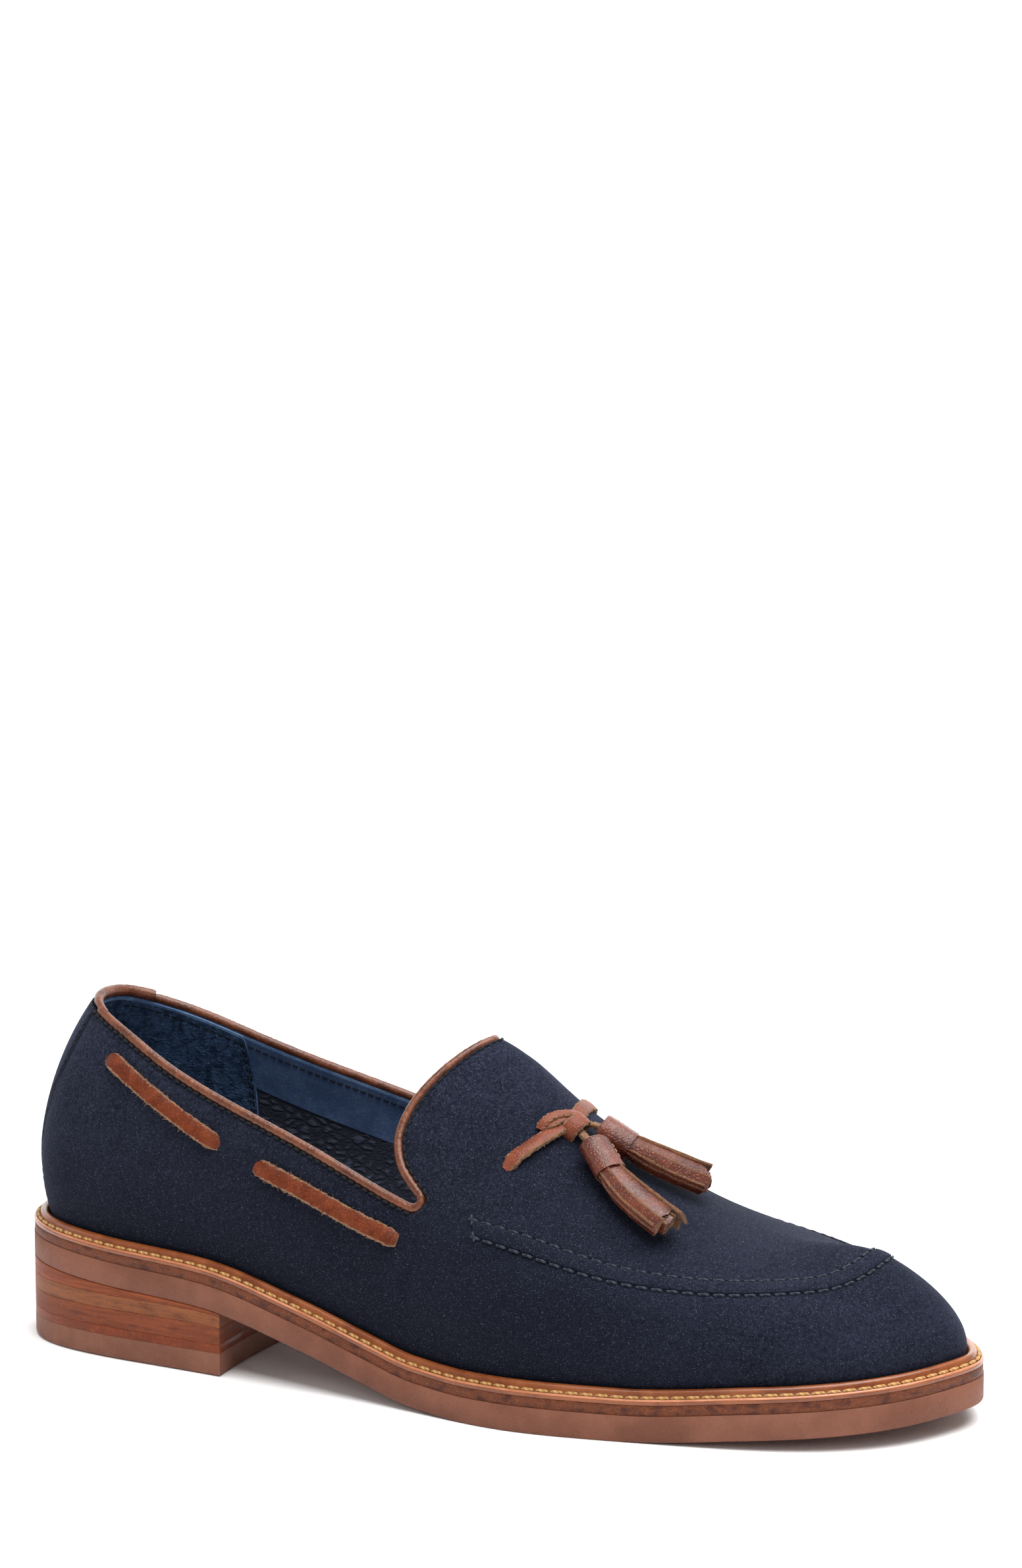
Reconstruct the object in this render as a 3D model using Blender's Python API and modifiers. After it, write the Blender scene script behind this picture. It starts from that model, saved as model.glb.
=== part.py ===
"""Right tassel loafer: suede upper on an all-round storm welt with a leather heel.

Metres, +Z up, +X to the toe, +Y to the wearer's left, which is the medial side.
The sole rests on z = 0, and x = y = 0 is the middle of its outline.
"""
import math

import bmesh
import bpy
import numpy as np

# Overall sizes
LENGTH = 0.3024
BALL_WIDTH = 0.1087
INSTEP_HEIGHT = 0.1000
CLEARANCE = 0.0003
RIM_CLEARANCE = 0.0005

# Sole stack
OUTSOLE_THICKNESS = 0.0075
OUTSOLE_EDGE_ROUND = 0.0003
MIDSOLE_THICKNESS = 0.0028
MIDSOLE_EDGE_ROUND = 0.0004
HEEL_HEIGHT = 0.0256
TOE_SPRING = 0.0064
HEEL_LENGTH = 0.0830
HEEL_BREAST_HOLLOW = 0.0020
TOP_LIFT_THICKNESS = 0.0070
HEEL_LAYER_THICKNESS = 0.0024
INSOLE_THICKNESS = 0.0030

# Welt
WELT_WIDTH = 0.0061
WELT_RIB_HEIGHT = 0.0037
WELT_RIB_WIDTH = 0.0026
WELT_BED_HEIGHT = 0.0015
WELT_LIP = 0.0008

# Upper
UPPER_WALL = 0.0020
BAND_WIDTH = 0.0055
BAND_RAISE = 0.0007
BACKSTAY_HALF_WIDTH = 0.0090
BACKSTAY_RAISE = 0.0005
STEP_WIDTH = 0.0006
THROAT_TIP_START = 0.0018
THROAT_TIP_RISE = 0.0026
THROAT_TIP_FORWARD = 0.0028
THROAT_TIP_RADIUS = 0.0033
PIPING_RADIUS = 0.0014
BINDING_RADIUS = 0.0020

# Laces, straps, knot and tassels
LACE_WIDTH = 0.0050
LACE_THICKNESS = 0.0013
STRAP_WIDTH = 0.0044
LOOP_WIDTH = 0.0026
THONG_WIDTH = 0.0030
KNOT_WIDTH = 0.0052
KNOT_HALF_LENGTH = 0.0040
KNOT_HEIGHT = 0.0040
CAP_HALF_WIDTH = 0.0050
CAP_HALF_THICKNESS = 0.0038
STRIP_WIDTH = 0.0050
STRIP_THICKNESS = 0.0015
STRIP_SPREAD = 1.50
STRIP_NOTCH = 0.0012

# Places round the shoe, from the heel back (0) to the toe tip (1)
THROAT_ROUND = 0.470
THROAT_FADE = 0.070
BAND_START = 0.542
BINDING_LATERAL = 0.075
BINDING_MEDIAL = 0.105

# Fineness
SOLE_COLUMNS = 40
HEEL_COLUMNS = 13
BREAST_POINTS = 5
REAR_COLUMNS = 12
FILLET_COLUMNS = 4
FRONT_COLUMNS = 17
WALL_ROWS = 7
CROWN_ROWS = 7

# Sole edge from above: share of the length, lateral and medial half width as shares of the ball width
SOLE_EDGE_COLUMNS = ("along", "lateral", "medial")
SOLE_EDGE = (
    (0.030, 0.184, 0.191),
    (0.100, 0.274, 0.284),
    (0.200, 0.311, 0.309),
    (0.330, 0.350, 0.295),
    (0.430, 0.382, 0.305),
    (0.530, 0.431, 0.371),
    (0.600, 0.460, 0.445),
    (0.670, 0.447, 0.514),
    (0.740, 0.415, 0.538),
    (0.820, 0.374, 0.501),
    (0.900, 0.294, 0.428),
    (0.955, 0.172, 0.337),
    (0.988, 0.023, 0.205),
)
TOE_TIP_ACROSS = 0.090

# Underside of the outsole: share of the length, height as shares of the heel height and toe spring
UNDERSIDE_COLUMNS = ("along", "heel", "toe")
UNDERSIDE = (
    (0.00, 1.000, 0.0),
    (0.13, 0.870, 0.0),
    (0.25, 0.780, 0.0),
    (0.37, 0.460, 0.0),
    (0.44, 0.220, 0.0),
    (0.50, 0.050, 0.0),
    (0.56, 0.000, 0.0),
    (0.71, 0.000, 0.0),
    (0.83, 0.000, 0.42),
    (1.00, 0.000, 1.0),
)

# The last, a row for each column of the upper from the heel back (0) round to the toe (1).
# Collar and apron line: share of the length, half widths as shares of the ball width, heights as
# shares of the instep height. Ridge: share of the length. Flare and lean: degrees from upright.
LAST_COLUMNS = ("round", "along", "lateral", "medial", "lateral_up", "medial_up", "flare", "lean")
LAST = (
    (0.000, 0.0715, 0.000, 0.000, 1.050, 1.050, 18.0, 36.0),
    (0.030, 0.0755, 0.067, 0.073, 1.043, 1.046, 18.0, 35.0),
    (0.065, 0.094, 0.131, 0.139, 1.020, 1.026, 23.0, 33.0),
    (0.113, 0.136, 0.184, 0.196, 0.965, 0.980, 21.0, 23.0),
    (0.170, 0.186, 0.221, 0.233, 0.890, 0.920, 18.0, 17.0),
    (0.250, 0.265, 0.258, 0.262, 0.795, 0.836, 17.0, 14.0),
    (0.350, 0.370, 0.296, 0.300, 0.685, 0.738, 18.0, 15.0),
    (0.470, 0.490, 0.350, 0.378, 0.558, 0.614, 20.0, 24.0),
    (0.540, 0.559, 0.377, 0.430, 0.519, 0.560, 20.0, 36.0),
    (0.600, 0.618, 0.388, 0.458, 0.485, 0.505, 20.0, 42.0),
    (0.655, 0.674, 0.386, 0.468, 0.448, 0.455, 20.0, 51.0),
    (0.712, 0.727, 0.368, 0.460, 0.425, 0.425, 21.0, 56.0),
    (0.755, 0.765, 0.340, 0.438, 0.415, 0.412, 22.0, 58.0),
    (0.805, 0.804, 0.294, 0.400, 0.408, 0.402, 24.0, 58.0),
    (0.860, 0.846, 0.216, 0.330, 0.405, 0.400, 27.0, 60.0),
    (0.910, 0.881, 0.120, 0.248, 0.407, 0.404, 30.0, 61.0),
    (0.957, 0.903, 0.022, 0.164, 0.432, 0.432, 30.0, 62.0),
    (1.000, 0.911, -0.074, 0.074, 0.452, 0.452, 31.0, 63.0),
)

# Ridge of the vamp: place round the shoe of the column that ends there, share of the length
RIDGE_COLUMNS = ("round", "along")
RIDGE = (
    (0.470, 0.518),
    (0.540, 0.568),
    (0.600, 0.620),
    (0.655, 0.668),
    (0.712, 0.712),
    (0.755, 0.740),
    (0.805, 0.765),
    (0.860, 0.785),
    (0.910, 0.799),
    (0.957, 0.808),
    (1.000, 0.812),
)

# Backward sweep of the columns where they cross the collar and apron line, as a share of the length
SWEEP_COLUMNS = ("round", "sweep")
SWEEP = (
    (0.360, 0.000),
    (0.470, 0.300),
    (0.540, 0.105),
    (0.600, 0.015),
    (0.655, 0.000),
)

# Forward shift of the tongue's edge over the rounded tip of the throat, in tip radii
TIP_COLUMNS = ("climb", "forward")
TIP = (
    (0.000, 0.00),
    (0.030, 0.95),
    (0.060, 1.38),
    (0.120, 1.15),
    (0.200, 0.60),
    (0.350, 0.12),
    (0.600, 0.00),
    (1.000, 0.00),
)

# Leather lifts of the heel: top of each as a share of the stack at the back and at the breast
LIFT_COLUMNS = ("back", "breast")
LIFTS = (
    (0.35, 0.55),
    (0.66, 0.93),
    (1.00, 1.00),
)

# Centre lines over the upper: place round the shoe, climb over the line (1) and the ridge (2)
# to the far side, and height off the surface
PATH_COLUMNS = ("round", "climb", "lift")
SIDE_LACE_REAR = (
    (0.1051, 0.884, 0.0004),
    (0.1802, 0.844, 0.0004),
    (0.2549, 0.787, 0.0004),
)
SIDE_LACE_FRONT = (
    (0.2965, 0.769, 0.0004),
    (0.3743, 0.771, 0.0004),
    (0.4580, 0.799, 0.0004),
)
LATERAL_STRAP = (
    (0.5583, 1.379, 0.0004),
    (0.5690, 1.510, 0.0004),
    (0.5785, 1.660, 0.0004),
)
MEDIAL_STRAP = (
    (0.5735, 1.785, 0.0008),
    (0.5801, 1.885, 0.0006),
    (0.5863, 2.010, 0.0005),
    (0.5800, 2.300, 0.0004),
    (0.5583, 2.621, 0.0004),
)
TIE_LOOP = (
    (0.5770, 1.748, 0.0030),
    (0.5706, 1.723, 0.0028),
    (0.5677, 1.667, 0.0022),
    (0.5680, 1.630, 0.0016),
)
NEAR_THONG = (
    (0.6010, 1.742, 0.0014),
    (0.6065, 1.730, 0.0032),
    (0.6118, 1.721, 0.0052),
)
FAR_THONG = (
    (0.6025, 1.822, 0.0018),
    (0.6060, 1.852, 0.0030),
    (0.6092, 1.872, 0.0040),
)
NEAR_TASSEL = (
    (0.6132, 1.718, 0.0058),
    (0.6408, 1.609, 0.0058),
    (0.7192, 1.407, 0.0064),
)
FAR_TASSEL = (
    (0.6119, 1.884, 0.0046),
    (0.6431, 1.908, 0.0050),
    (0.7216, 2.127, 0.0062),
)
KNOT_PLACE = (0.5905, 1.757)

# Section of a strip with a domed face, in shares of its width and thickness
STRIP_SECTION = ((-0.5, 0.0), (0.5, 0.0), (0.5, 0.6), (0.26, 1.0), (-0.26, 1.0), (-0.5, 0.6))

# Fringe strips: angle round the tassel in degrees, length as a share of the fringe
FRINGE_COLUMNS = ("angle", "length")
FRINGE = (
    (90.0, 0.95),
    (28.0, 1.00),
    (152.0, 1.04),
    (-30.0, 0.97),
    (210.0, 1.00),
    (-90.0, 0.93),
)

# Profile of the ridge: share of the length, share of the instep height, share of the ball width
PROFILE_COLUMNS = ("along", "up", "across")
PROFILE = (
    (0.500, 1.020, 0.028),
    (0.518, 1.003, 0.028),
    (0.546, 0.957, 0.030),
    (0.605, 0.801, 0.034),
    (0.683, 0.630, 0.046),
    (0.736, 0.544, 0.055),
    (0.808, 0.489, 0.066),
    (0.850, 0.472, 0.072),
)


def column_of(table, names, name):
    """One named column of a table as an array."""
    return np.array([row[names.index(name)] for row in table], dtype=float)


def loop_spline(keys, values, places, period):
    """Smooth closed curve through values at keys, read at the given places."""
    keys = np.asarray(keys, dtype=float)
    values = np.asarray(values, dtype=float)
    count = len(keys)
    steps = np.append(np.diff(keys), keys[0] + period - keys[-1])
    system = np.zeros((count, count))
    slopes = (np.roll(values, -1) - values) / steps
    for i in range(count):
        system[i, i - 1] += steps[i - 1]
        system[i, i] += 2.0 * (steps[i - 1] + steps[i])
        system[i, (i + 1) % count] += steps[i]
    bends = np.linalg.solve(system, 6.0 * (slopes - np.roll(slopes, 1)))
    wrapped = keys[0] + np.mod(np.asarray(places, dtype=float) - keys[0], period)
    i = np.clip(np.searchsorted(keys, wrapped, side="right") - 1, 0, count - 1)
    k = (i + 1) % count
    b = (wrapped - keys[i]) / steps[i]
    a = 1.0 - b
    curve = (a ** 3 - a) * bends[i] + (b ** 3 - b) * bends[k]
    return a * values[i] + b * values[k] + curve * steps[i] ** 2 / 6.0


def steady_spline(keys, values, places):
    """Curve through values at keys that never overshoots them."""
    keys = np.asarray(keys, dtype=float)
    values = np.asarray(values, dtype=float)
    steps = np.diff(keys)
    slopes = np.diff(values) / steps
    tangents = np.zeros(len(keys))
    tangents[0] = slopes[0]
    tangents[-1] = slopes[-1]
    for i in range(1, len(keys) - 1):
        if slopes[i - 1] * slopes[i] > 0.0:
            first = 2.0 * steps[i] + steps[i - 1]
            second = steps[i] + 2.0 * steps[i - 1]
            tangents[i] = (first + second) / (first / slopes[i - 1] + second / slopes[i])
    places = np.asarray(places, dtype=float)
    i = np.clip(np.searchsorted(keys, places, side="right") - 1, 0, len(steps) - 1)
    t = np.clip((places - keys[i]) / steps[i], 0.0, 1.0)
    start = (2.0 * t ** 3 - 3.0 * t ** 2 + 1.0) * values[i]
    end = (3.0 * t ** 2 - 2.0 * t ** 3) * values[i + 1]
    leave = (t ** 3 - 2.0 * t ** 2 + t) * steps[i] * tangents[i]
    reach = (t ** 3 - t ** 2) * steps[i] * tangents[i + 1]
    return start + end + leave + reach


def hermite(start, leave, end, reach, t):
    """Point at t on the curve from start to end with the given end tangents."""
    return (
        (2.0 * t ** 3 - 3.0 * t ** 2 + 1.0) * start
        + (t ** 3 - 2.0 * t ** 2 + t) * leave
        + (3.0 * t ** 2 - 2.0 * t ** 3) * end
        + (t ** 3 - t ** 2) * reach
    )


class Outline:
    """The sole edge from above, read by a signed share of its half round.

    0 is the back of the heel, 1 the toe tip along the lateral side and -1 the toe tip along the
    medial side.
    """

    SAMPLES = 1600

    def __init__(self):
        along = column_of(SOLE_EDGE, SOLE_EDGE_COLUMNS, "along")
        lateral = column_of(SOLE_EDGE, SOLE_EDGE_COLUMNS, "lateral")
        medial = column_of(SOLE_EDGE, SOLE_EDGE_COLUMNS, "medial")
        shares_x = np.concatenate([[0.0], along, [1.0], along[::-1]])
        shares_y = np.concatenate([[0.0], -lateral, [TOE_TIP_ACROSS], medial[::-1]])
        x = shares_x * LENGTH
        y = shares_y * BALL_WIDTH
        hops = np.hypot(np.roll(x, -1) - x, np.roll(y, -1) - y)
        keys = np.concatenate([[0.0], np.cumsum(hops)[:-1]])
        total = hops.sum()
        places = np.linspace(0.0, total, self.SAMPLES, endpoint=False)
        x = loop_spline(keys, x, places, total)
        y = loop_spline(keys, y, places, total)
        self.middle = 0.5 * (y.min() + y.max())
        self.back = x.min()
        x = (x - self.back) * LENGTH / (x.max() - self.back) - 0.5 * LENGTH
        y = y - self.middle
        heel = int(np.argmin(x))
        x = np.roll(x, -heel)
        y = np.roll(y, -heel)
        tip = int(np.argmax(x))
        hops = np.hypot(np.roll(x, -1) - x, np.roll(y, -1) - y)
        travel = np.concatenate([[0.0], np.cumsum(hops)])
        lateral_share = travel[: tip + 1] / travel[tip]
        medial_share = -(travel[-1] - travel[tip:]) / (travel[-1] - travel[tip])
        x = np.append(x, x[0])
        y = np.append(y, y[0])
        self.keys = np.concatenate([medial_share[:-1], lateral_share])
        self.x = np.concatenate([x[tip:-1], x[: tip + 1]])
        self.y = np.concatenate([y[tip:-1], y[: tip + 1]])
        grow_x = np.gradient(self.x)
        grow_y = np.gradient(self.y)
        size = np.hypot(grow_x, grow_y)
        self.out_x = grow_y / size
        self.out_y = -grow_x / size

    def point(self, share, inset=0.0):
        """Point of the edge at a signed share, moved inward by inset."""
        share = (share + 1.0) % 2.0 - 1.0
        x = np.interp(share, self.keys, self.x)
        y = np.interp(share, self.keys, self.y)
        out = self.outward(share)
        return np.array([x, y]) - inset * out

    def outward(self, share):
        """Unit vector that points out of the edge at a signed share."""
        share = (share + 1.0) % 2.0 - 1.0
        out = np.array([
            np.interp(share, self.keys, self.out_x),
            np.interp(share, self.keys, self.out_y),
        ])
        return out / np.hypot(*out)


EDGE = Outline()


def sole_level(x):
    """Height of the outsole's underside at x."""
    along = column_of(UNDERSIDE, UNDERSIDE_COLUMNS, "along")
    heel = column_of(UNDERSIDE, UNDERSIDE_COLUMNS, "heel")
    toe = column_of(UNDERSIDE, UNDERSIDE_COLUMNS, "toe")
    share = x / LENGTH + 0.5
    return HEEL_HEIGHT * steady_spline(along, heel, share) + TOE_SPRING * steady_spline(along, toe, share)


MIDSOLE_RISE = OUTSOLE_THICKNESS + CLEARANCE
WELT_RISE = MIDSOLE_RISE + MIDSOLE_THICKNESS + CLEARANCE


def even_shares(count):
    """Shares from 0 to 1, closer together at both ends where the outline turns."""
    t = np.linspace(0.0, 1.0, count + 1)
    return t - 0.45 * np.sin(2.0 * math.pi * t) / (2.0 * math.pi)


class Last:
    """The outer surface of the upper as a fan of columns round the shoe."""

    NEAR = 0.004

    def __init__(self):
        table = {name: column_of(LAST, LAST_COLUMNS, name) for name in LAST_COLUMNS}
        self.keys = np.concatenate([-table["round"][:0:-1], table["round"][:-1]])
        self.loops = {
            "across": np.concatenate([table["medial"][:0:-1], -table["lateral"][:-1]]),
            "up": np.concatenate([table["medial_up"][:0:-1], table["lateral_up"][:-1]]),
        }
        for name in ("along", "flare", "lean"):
            self.loops[name] = np.concatenate([table[name][:0:-1], table[name][:-1]])
        self.ridge = {name: column_of(RIDGE, RIDGE_COLUMNS, name) for name in RIDGE_COLUMNS}
        self.sweeps = {name: column_of(SWEEP, SWEEP_COLUMNS, name) for name in SWEEP_COLUMNS}
        self.tip = {name: column_of(TIP, TIP_COLUMNS, name) for name in TIP_COLUMNS}
        self.profile = {name: column_of(PROFILE, PROFILE_COLUMNS, name) for name in PROFILE_COLUMNS}
        self.fillet = THROAT_TIP_START / LENGTH
        self.corners = {side: self.corner(side) for side in (1.0, -1.0)}

    def read(self, name, share):
        """Value of a named column of the table at a signed share."""
        return float(loop_spline(self.keys, self.loops[name], share, 2.0))

    def feather(self, share):
        """Point where the wall meets the sole."""
        x, y = EDGE.point(share, WELT_WIDTH)
        return np.array([x, y, sole_level(x) + WELT_RISE])

    def table_line(self, share):
        """Point of the collar and apron line with a sharp corner at the throat."""
        x = (self.read("along", share) - 0.5) * LENGTH
        y = self.read("across", share) * BALL_WIDTH - EDGE.middle
        return np.array([x, y, self.read("up", share) * INSTEP_HEIGHT])

    def corner(self, side):
        """Handles of the throat's rounded tip and its shift, side 1 lateral and -1 medial."""
        share = side * THROAT_ROUND
        begin = self.table_line(side * (THROAT_ROUND - self.fillet))
        ahead = self.table_line(share)
        along = (ahead - begin) / np.linalg.norm(ahead - begin)
        climb = self.lean_direction(share)
        forward = np.array([1.0, 0.0, 0.0])
        shift = climb * THROAT_TIP_RISE + forward * THROAT_TIP_FORWARD
        end = ahead + shift
        arrive = 0.55 * THROAT_TIP_RADIUS * (0.87 * climb + 0.50 * forward)
        return (begin, begin + 0.55 * THROAT_TIP_RADIUS * along, end - arrive, end), shift

    def tip_fade(self, share):
        """Share of the throat tip's shift that is left at a column forward of it."""
        forward = min(1.0, (abs(share) - THROAT_ROUND) / THROAT_FADE)
        return 0.5 + 0.5 * math.cos(math.pi * forward)

    def line(self, share):
        """Point of the collar, and forward of the throat of the apron's outer edge."""
        size = abs(share)
        if not THROAT_ROUND - self.fillet < size < THROAT_ROUND + THROAT_FADE:
            return self.table_line(share)
        handles, shift = self.corners[math.copysign(1.0, share)]
        if size <= THROAT_ROUND:
            t = 1.0 - (THROAT_ROUND - size) / self.fillet
            weights = ((1.0 - t) ** 3, 3.0 * t * (1.0 - t) ** 2, 3.0 * t * t * (1.0 - t), t**3)
            return sum(weight * handle for weight, handle in zip(weights, handles))
        return self.table_line(share) + shift * self.tip_fade(share)

    def ridge_at(self, along):
        """Point of the ridge at a share of the length."""
        up = float(steady_spline(self.profile["along"], self.profile["up"], along))
        across = float(steady_spline(self.profile["along"], self.profile["across"], along))
        x = (along - 0.5) * LENGTH
        return np.array([x, across * BALL_WIDTH - EDGE.middle, up * INSTEP_HEIGHT])

    def ridge_share(self, share):
        """Share of the length at which the column ends on the ridge."""
        return float(steady_spline(self.ridge["round"], self.ridge["along"], abs(share)))

    def lean_direction(self, share):
        """Unit direction straight up the surface where it crosses the line."""
        out = EDGE.outward(share)
        inward = np.array([-out[0], -out[1]])
        if abs(share) > THROAT_ROUND:
            reach = self.ridge_at(self.ridge_share(share)) - self.table_line(share)
            blend = min(1.0, (abs(share) - THROAT_ROUND) / THROAT_FADE)
            inward = (1.0 - blend) * inward + blend * reach[:2] / np.hypot(*reach[:2])
        inward = inward / np.hypot(*inward)
        lean = math.radians(self.read("lean", share))
        return np.array([inward[0] * math.sin(lean), inward[1] * math.sin(lean), math.cos(lean)])

    def tangent(self, share, line):
        """Direction of the crown's column where it leaves the line, swept back near the throat."""
        size = np.linalg.norm(self.ridge_at(self.ridge_share(share)) - line)
        sweep = float(steady_spline(self.sweeps["round"], self.sweeps["sweep"], abs(share)))
        return self.lean_direction(share) - np.array([sweep * LENGTH / size, 0.0, 0.0])

    def wall(self, share, t):
        """Point of the side wall, t from 0 at the sole to 1 at the collar or apron line."""
        foot = self.feather(share)
        head = self.line(share)
        size = np.linalg.norm(head - foot)
        flare = math.radians(self.read("flare", share))
        out = EDGE.outward(share)
        leave = np.array([out[0] * math.sin(flare), out[1] * math.sin(flare), math.cos(flare)])
        return hermite(foot, leave * size, head, self.lean_direction(share) * size, t)

    def crown(self, share, t):
        """Point over the foot, t from 0 at the apron line to 1 at the ridge."""
        foot = self.line(share)
        along = self.ridge_share(share)
        head = self.ridge_at(along)
        span = head - foot
        rise = self.ridge_at(along + self.NEAR) - self.ridge_at(along - self.NEAR)
        reach = np.array([span[0], span[1], rise[2] / rise[0] * span[0]])
        point = hermite(foot, self.tangent(share, foot) * np.linalg.norm(span), head, reach, t)
        forward = float(steady_spline(self.tip["climb"], self.tip["forward"], t))
        point[0] += forward * THROAT_TIP_RADIUS * self.tip_fade(max(abs(share), THROAT_ROUND))
        return point

    def point(self, share, climb):
        """Point of the surface, climb from 0 at the sole over 1 at the line to 2 at the ridge."""
        if climb <= 1.0:
            return self.wall(share, climb)
        return self.crown(share, climb - 1.0)

    def normal(self, share, climb):
        """Unit vector that points out of the surface."""
        side = math.copysign(1.0, share)
        size = abs(share)
        floor = 0.0
        behind = size - self.NEAR
        if climb > 1.0:
            floor = 1.0
            behind = max(THROAT_ROUND, behind)
        ahead = self.point(side * (size + self.NEAR), climb)
        round_the_shoe = side * (ahead - self.point(side * behind, climb))
        top = 1.0 if size < THROAT_ROUND - self.NEAR else 2.0
        high = self.point(share, min(top, climb + self.NEAR))
        across = np.cross(round_the_shoe, high - self.point(share, max(floor, climb - self.NEAR)))
        return across / np.linalg.norm(across)


SHAPE = Last()


def make_material(name, colour, roughness, metallic=0.0):
    """A plain Principled material."""
    material = bpy.data.materials.new(name)
    material.use_nodes = True
    shader = material.node_tree.nodes["Principled BSDF"]
    shader.inputs["Base Color"].default_value = (*colour, 1.0)
    shader.inputs["Roughness"].default_value = roughness
    shader.inputs["Metallic"].default_value = metallic
    return material


def make_object(name, points, faces, material, collection):
    """A mesh object from points and faces, with its faces turned outward."""
    mesh = bpy.data.meshes.new(name)
    mesh.from_pydata([tuple(map(float, p)) for p in points], [], faces)
    shape = bmesh.new()
    shape.from_mesh(mesh)
    bmesh.ops.recalc_face_normals(shape, faces=shape.faces)
    shape.to_mesh(mesh)
    shape.free()
    mesh.shade_smooth()
    mesh.set_sharp_from_angle(angle=math.radians(40.0))
    mesh.materials.append(material)
    made = bpy.data.objects.new(name, mesh)
    collection.objects.link(made)
    return made


def loop_faces(first, second, count):
    """Faces between two closed rings of count points that start at the given indices."""
    faces = []
    for i in range(count):
        k = (i + 1) % count
        faces.append((first + i, first + k, second + k, second + i))
    return faces


def sole_shares(count):
    """Signed shares round the whole outline, in order from the heel back."""
    side = even_shares(count)
    return np.concatenate([side, -side[-2:0:-1]])


def cap_faces(start, count):
    """Faces that close a ring whose points face each other in pairs across the shoe."""
    half = count // 2
    faces = [(start, start + 1, start + count - 1)]
    for i in range(1, half - 1):
        a = start + i
        b = start + count - i
        faces.append((a, a + 1, b - 1))
        faces.append((a, b - 1, b))
    faces.append((start + half - 1, start + half, start + half + 1))
    return faces


def layer(name, shares, profile, level, material, collection):
    """A closed layer of the sole: the profile (inset, height) lofted round the outline."""
    points = []
    faces = []
    count = len(shares)
    for inset, height in profile:
        for share in shares:
            x, y = EDGE.point(share, inset)
            points.append((x, y, level(x) + height))
    for ring in range(len(profile) - 1):
        faces.extend(loop_faces(ring * count, (ring + 1) * count, count))
    faces.extend(cap_faces(0, count))
    faces.extend(cap_faces((len(profile) - 1) * count, count))
    return make_object(name, points, faces, material, collection)


def build_outsole(material, collection):
    """Full-length outsole with a rounded bottom edge."""
    r = OUTSOLE_EDGE_ROUND
    profile = (
        (r, 0.0),
        (0.0, r),
        (0.0, OUTSOLE_THICKNESS),
    )
    return layer("outsole", sole_shares(SOLE_COLUMNS), profile, sole_level, material, collection)


def build_midsole(material, collection):
    """Leather midsole between outsole and welt."""
    r = MIDSOLE_EDGE_ROUND
    profile = (
        (0.0, MIDSOLE_RISE),
        (0.0, MIDSOLE_RISE + MIDSOLE_THICKNESS - r),
        (r, MIDSOLE_RISE + MIDSOLE_THICKNESS),
    )
    return layer("midsole", sole_shares(SOLE_COLUMNS), profile, sole_level, material, collection)


def welt_profile():
    """Section of the welt as (inset from the sole edge, height over its underside)."""
    foot = WELT_WIDTH - CLEARANCE
    top = foot - 0.4 * WELT_RIB_HEIGHT
    return (
        (foot, 0.0),
        (top, 0.80 * WELT_RIB_HEIGHT),
        (top - 0.45 * WELT_RIB_WIDTH, WELT_RIB_HEIGHT),
        (top - 0.90 * WELT_RIB_WIDTH, 0.75 * WELT_RIB_HEIGHT),
        (top - WELT_RIB_WIDTH, WELT_BED_HEIGHT),
        (WELT_LIP, WELT_BED_HEIGHT),
        (0.0, 0.5 * WELT_BED_HEIGHT),
        (0.25 * WELT_LIP, 0.0),
    )


def build_welt(material, collection):
    """Ring of leather round the upper with its storm rib, bed and lip."""
    shares = sole_shares(SOLE_COLUMNS)
    profile = welt_profile()
    count = len(shares)
    points = []
    faces = []
    for inset, height in profile:
        for share in shares:
            x, y = EDGE.point(share, inset)
            points.append((x, y, sole_level(x) + WELT_RISE + height))
    rings = len(profile)
    for ring in range(rings):
        faces.extend(loop_faces(ring * count, ((ring + 1) % rings) * count, count))
    return make_object("welt", points, faces, material, collection)


def settle(made):
    """Applies an object's modifiers to its mesh."""
    bpy.context.view_layer.update()
    graph = bpy.context.evaluated_depsgraph_get()
    mesh = bpy.data.meshes.new_from_object(made.evaluated_get(graph))
    made.modifiers.clear()
    made.data = mesh
    return made


def build_insole(material, collection):
    """Insole inside the foot of the upper's wall."""
    inset = WELT_WIDTH + UPPER_WALL + 2.0 * CLEARANCE
    profile = (
        (inset, WELT_RISE),
        (inset, WELT_RISE + INSOLE_THICKNESS),
    )
    return layer("insole", sole_shares(SOLE_COLUMNS), profile, sole_level, material, collection)


def heel_outline():
    """Outline of the heel from the back round the lateral side and the hollow breast."""
    breast = HEEL_LENGTH - 0.5 * LENGTH
    lateral = EDGE.keys >= 0.0
    medial = EDGE.keys <= 0.0
    lateral_end = float(np.interp(breast, EDGE.x[lateral], EDGE.keys[lateral]))
    medial_end = float(np.interp(breast, EDGE.x[medial][::-1], EDGE.keys[medial][::-1]))
    steps = np.linspace(0.0, 1.0, HEEL_COLUMNS + 1)
    points = [EDGE.point(t * lateral_end) for t in steps]
    corners = (EDGE.point(lateral_end), EDGE.point(medial_end))
    for i in range(1, BREAST_POINTS + 1):
        t = i / (BREAST_POINTS + 1)
        point = corners[0] * (1.0 - t) + corners[1] * t
        points.append(point - np.array([4.0 * HEEL_BREAST_HOLLOW * t * (1.0 - t), 0.0]))
    points.extend(EDGE.point(t * medial_end) for t in steps[:0:-1])
    return points


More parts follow.
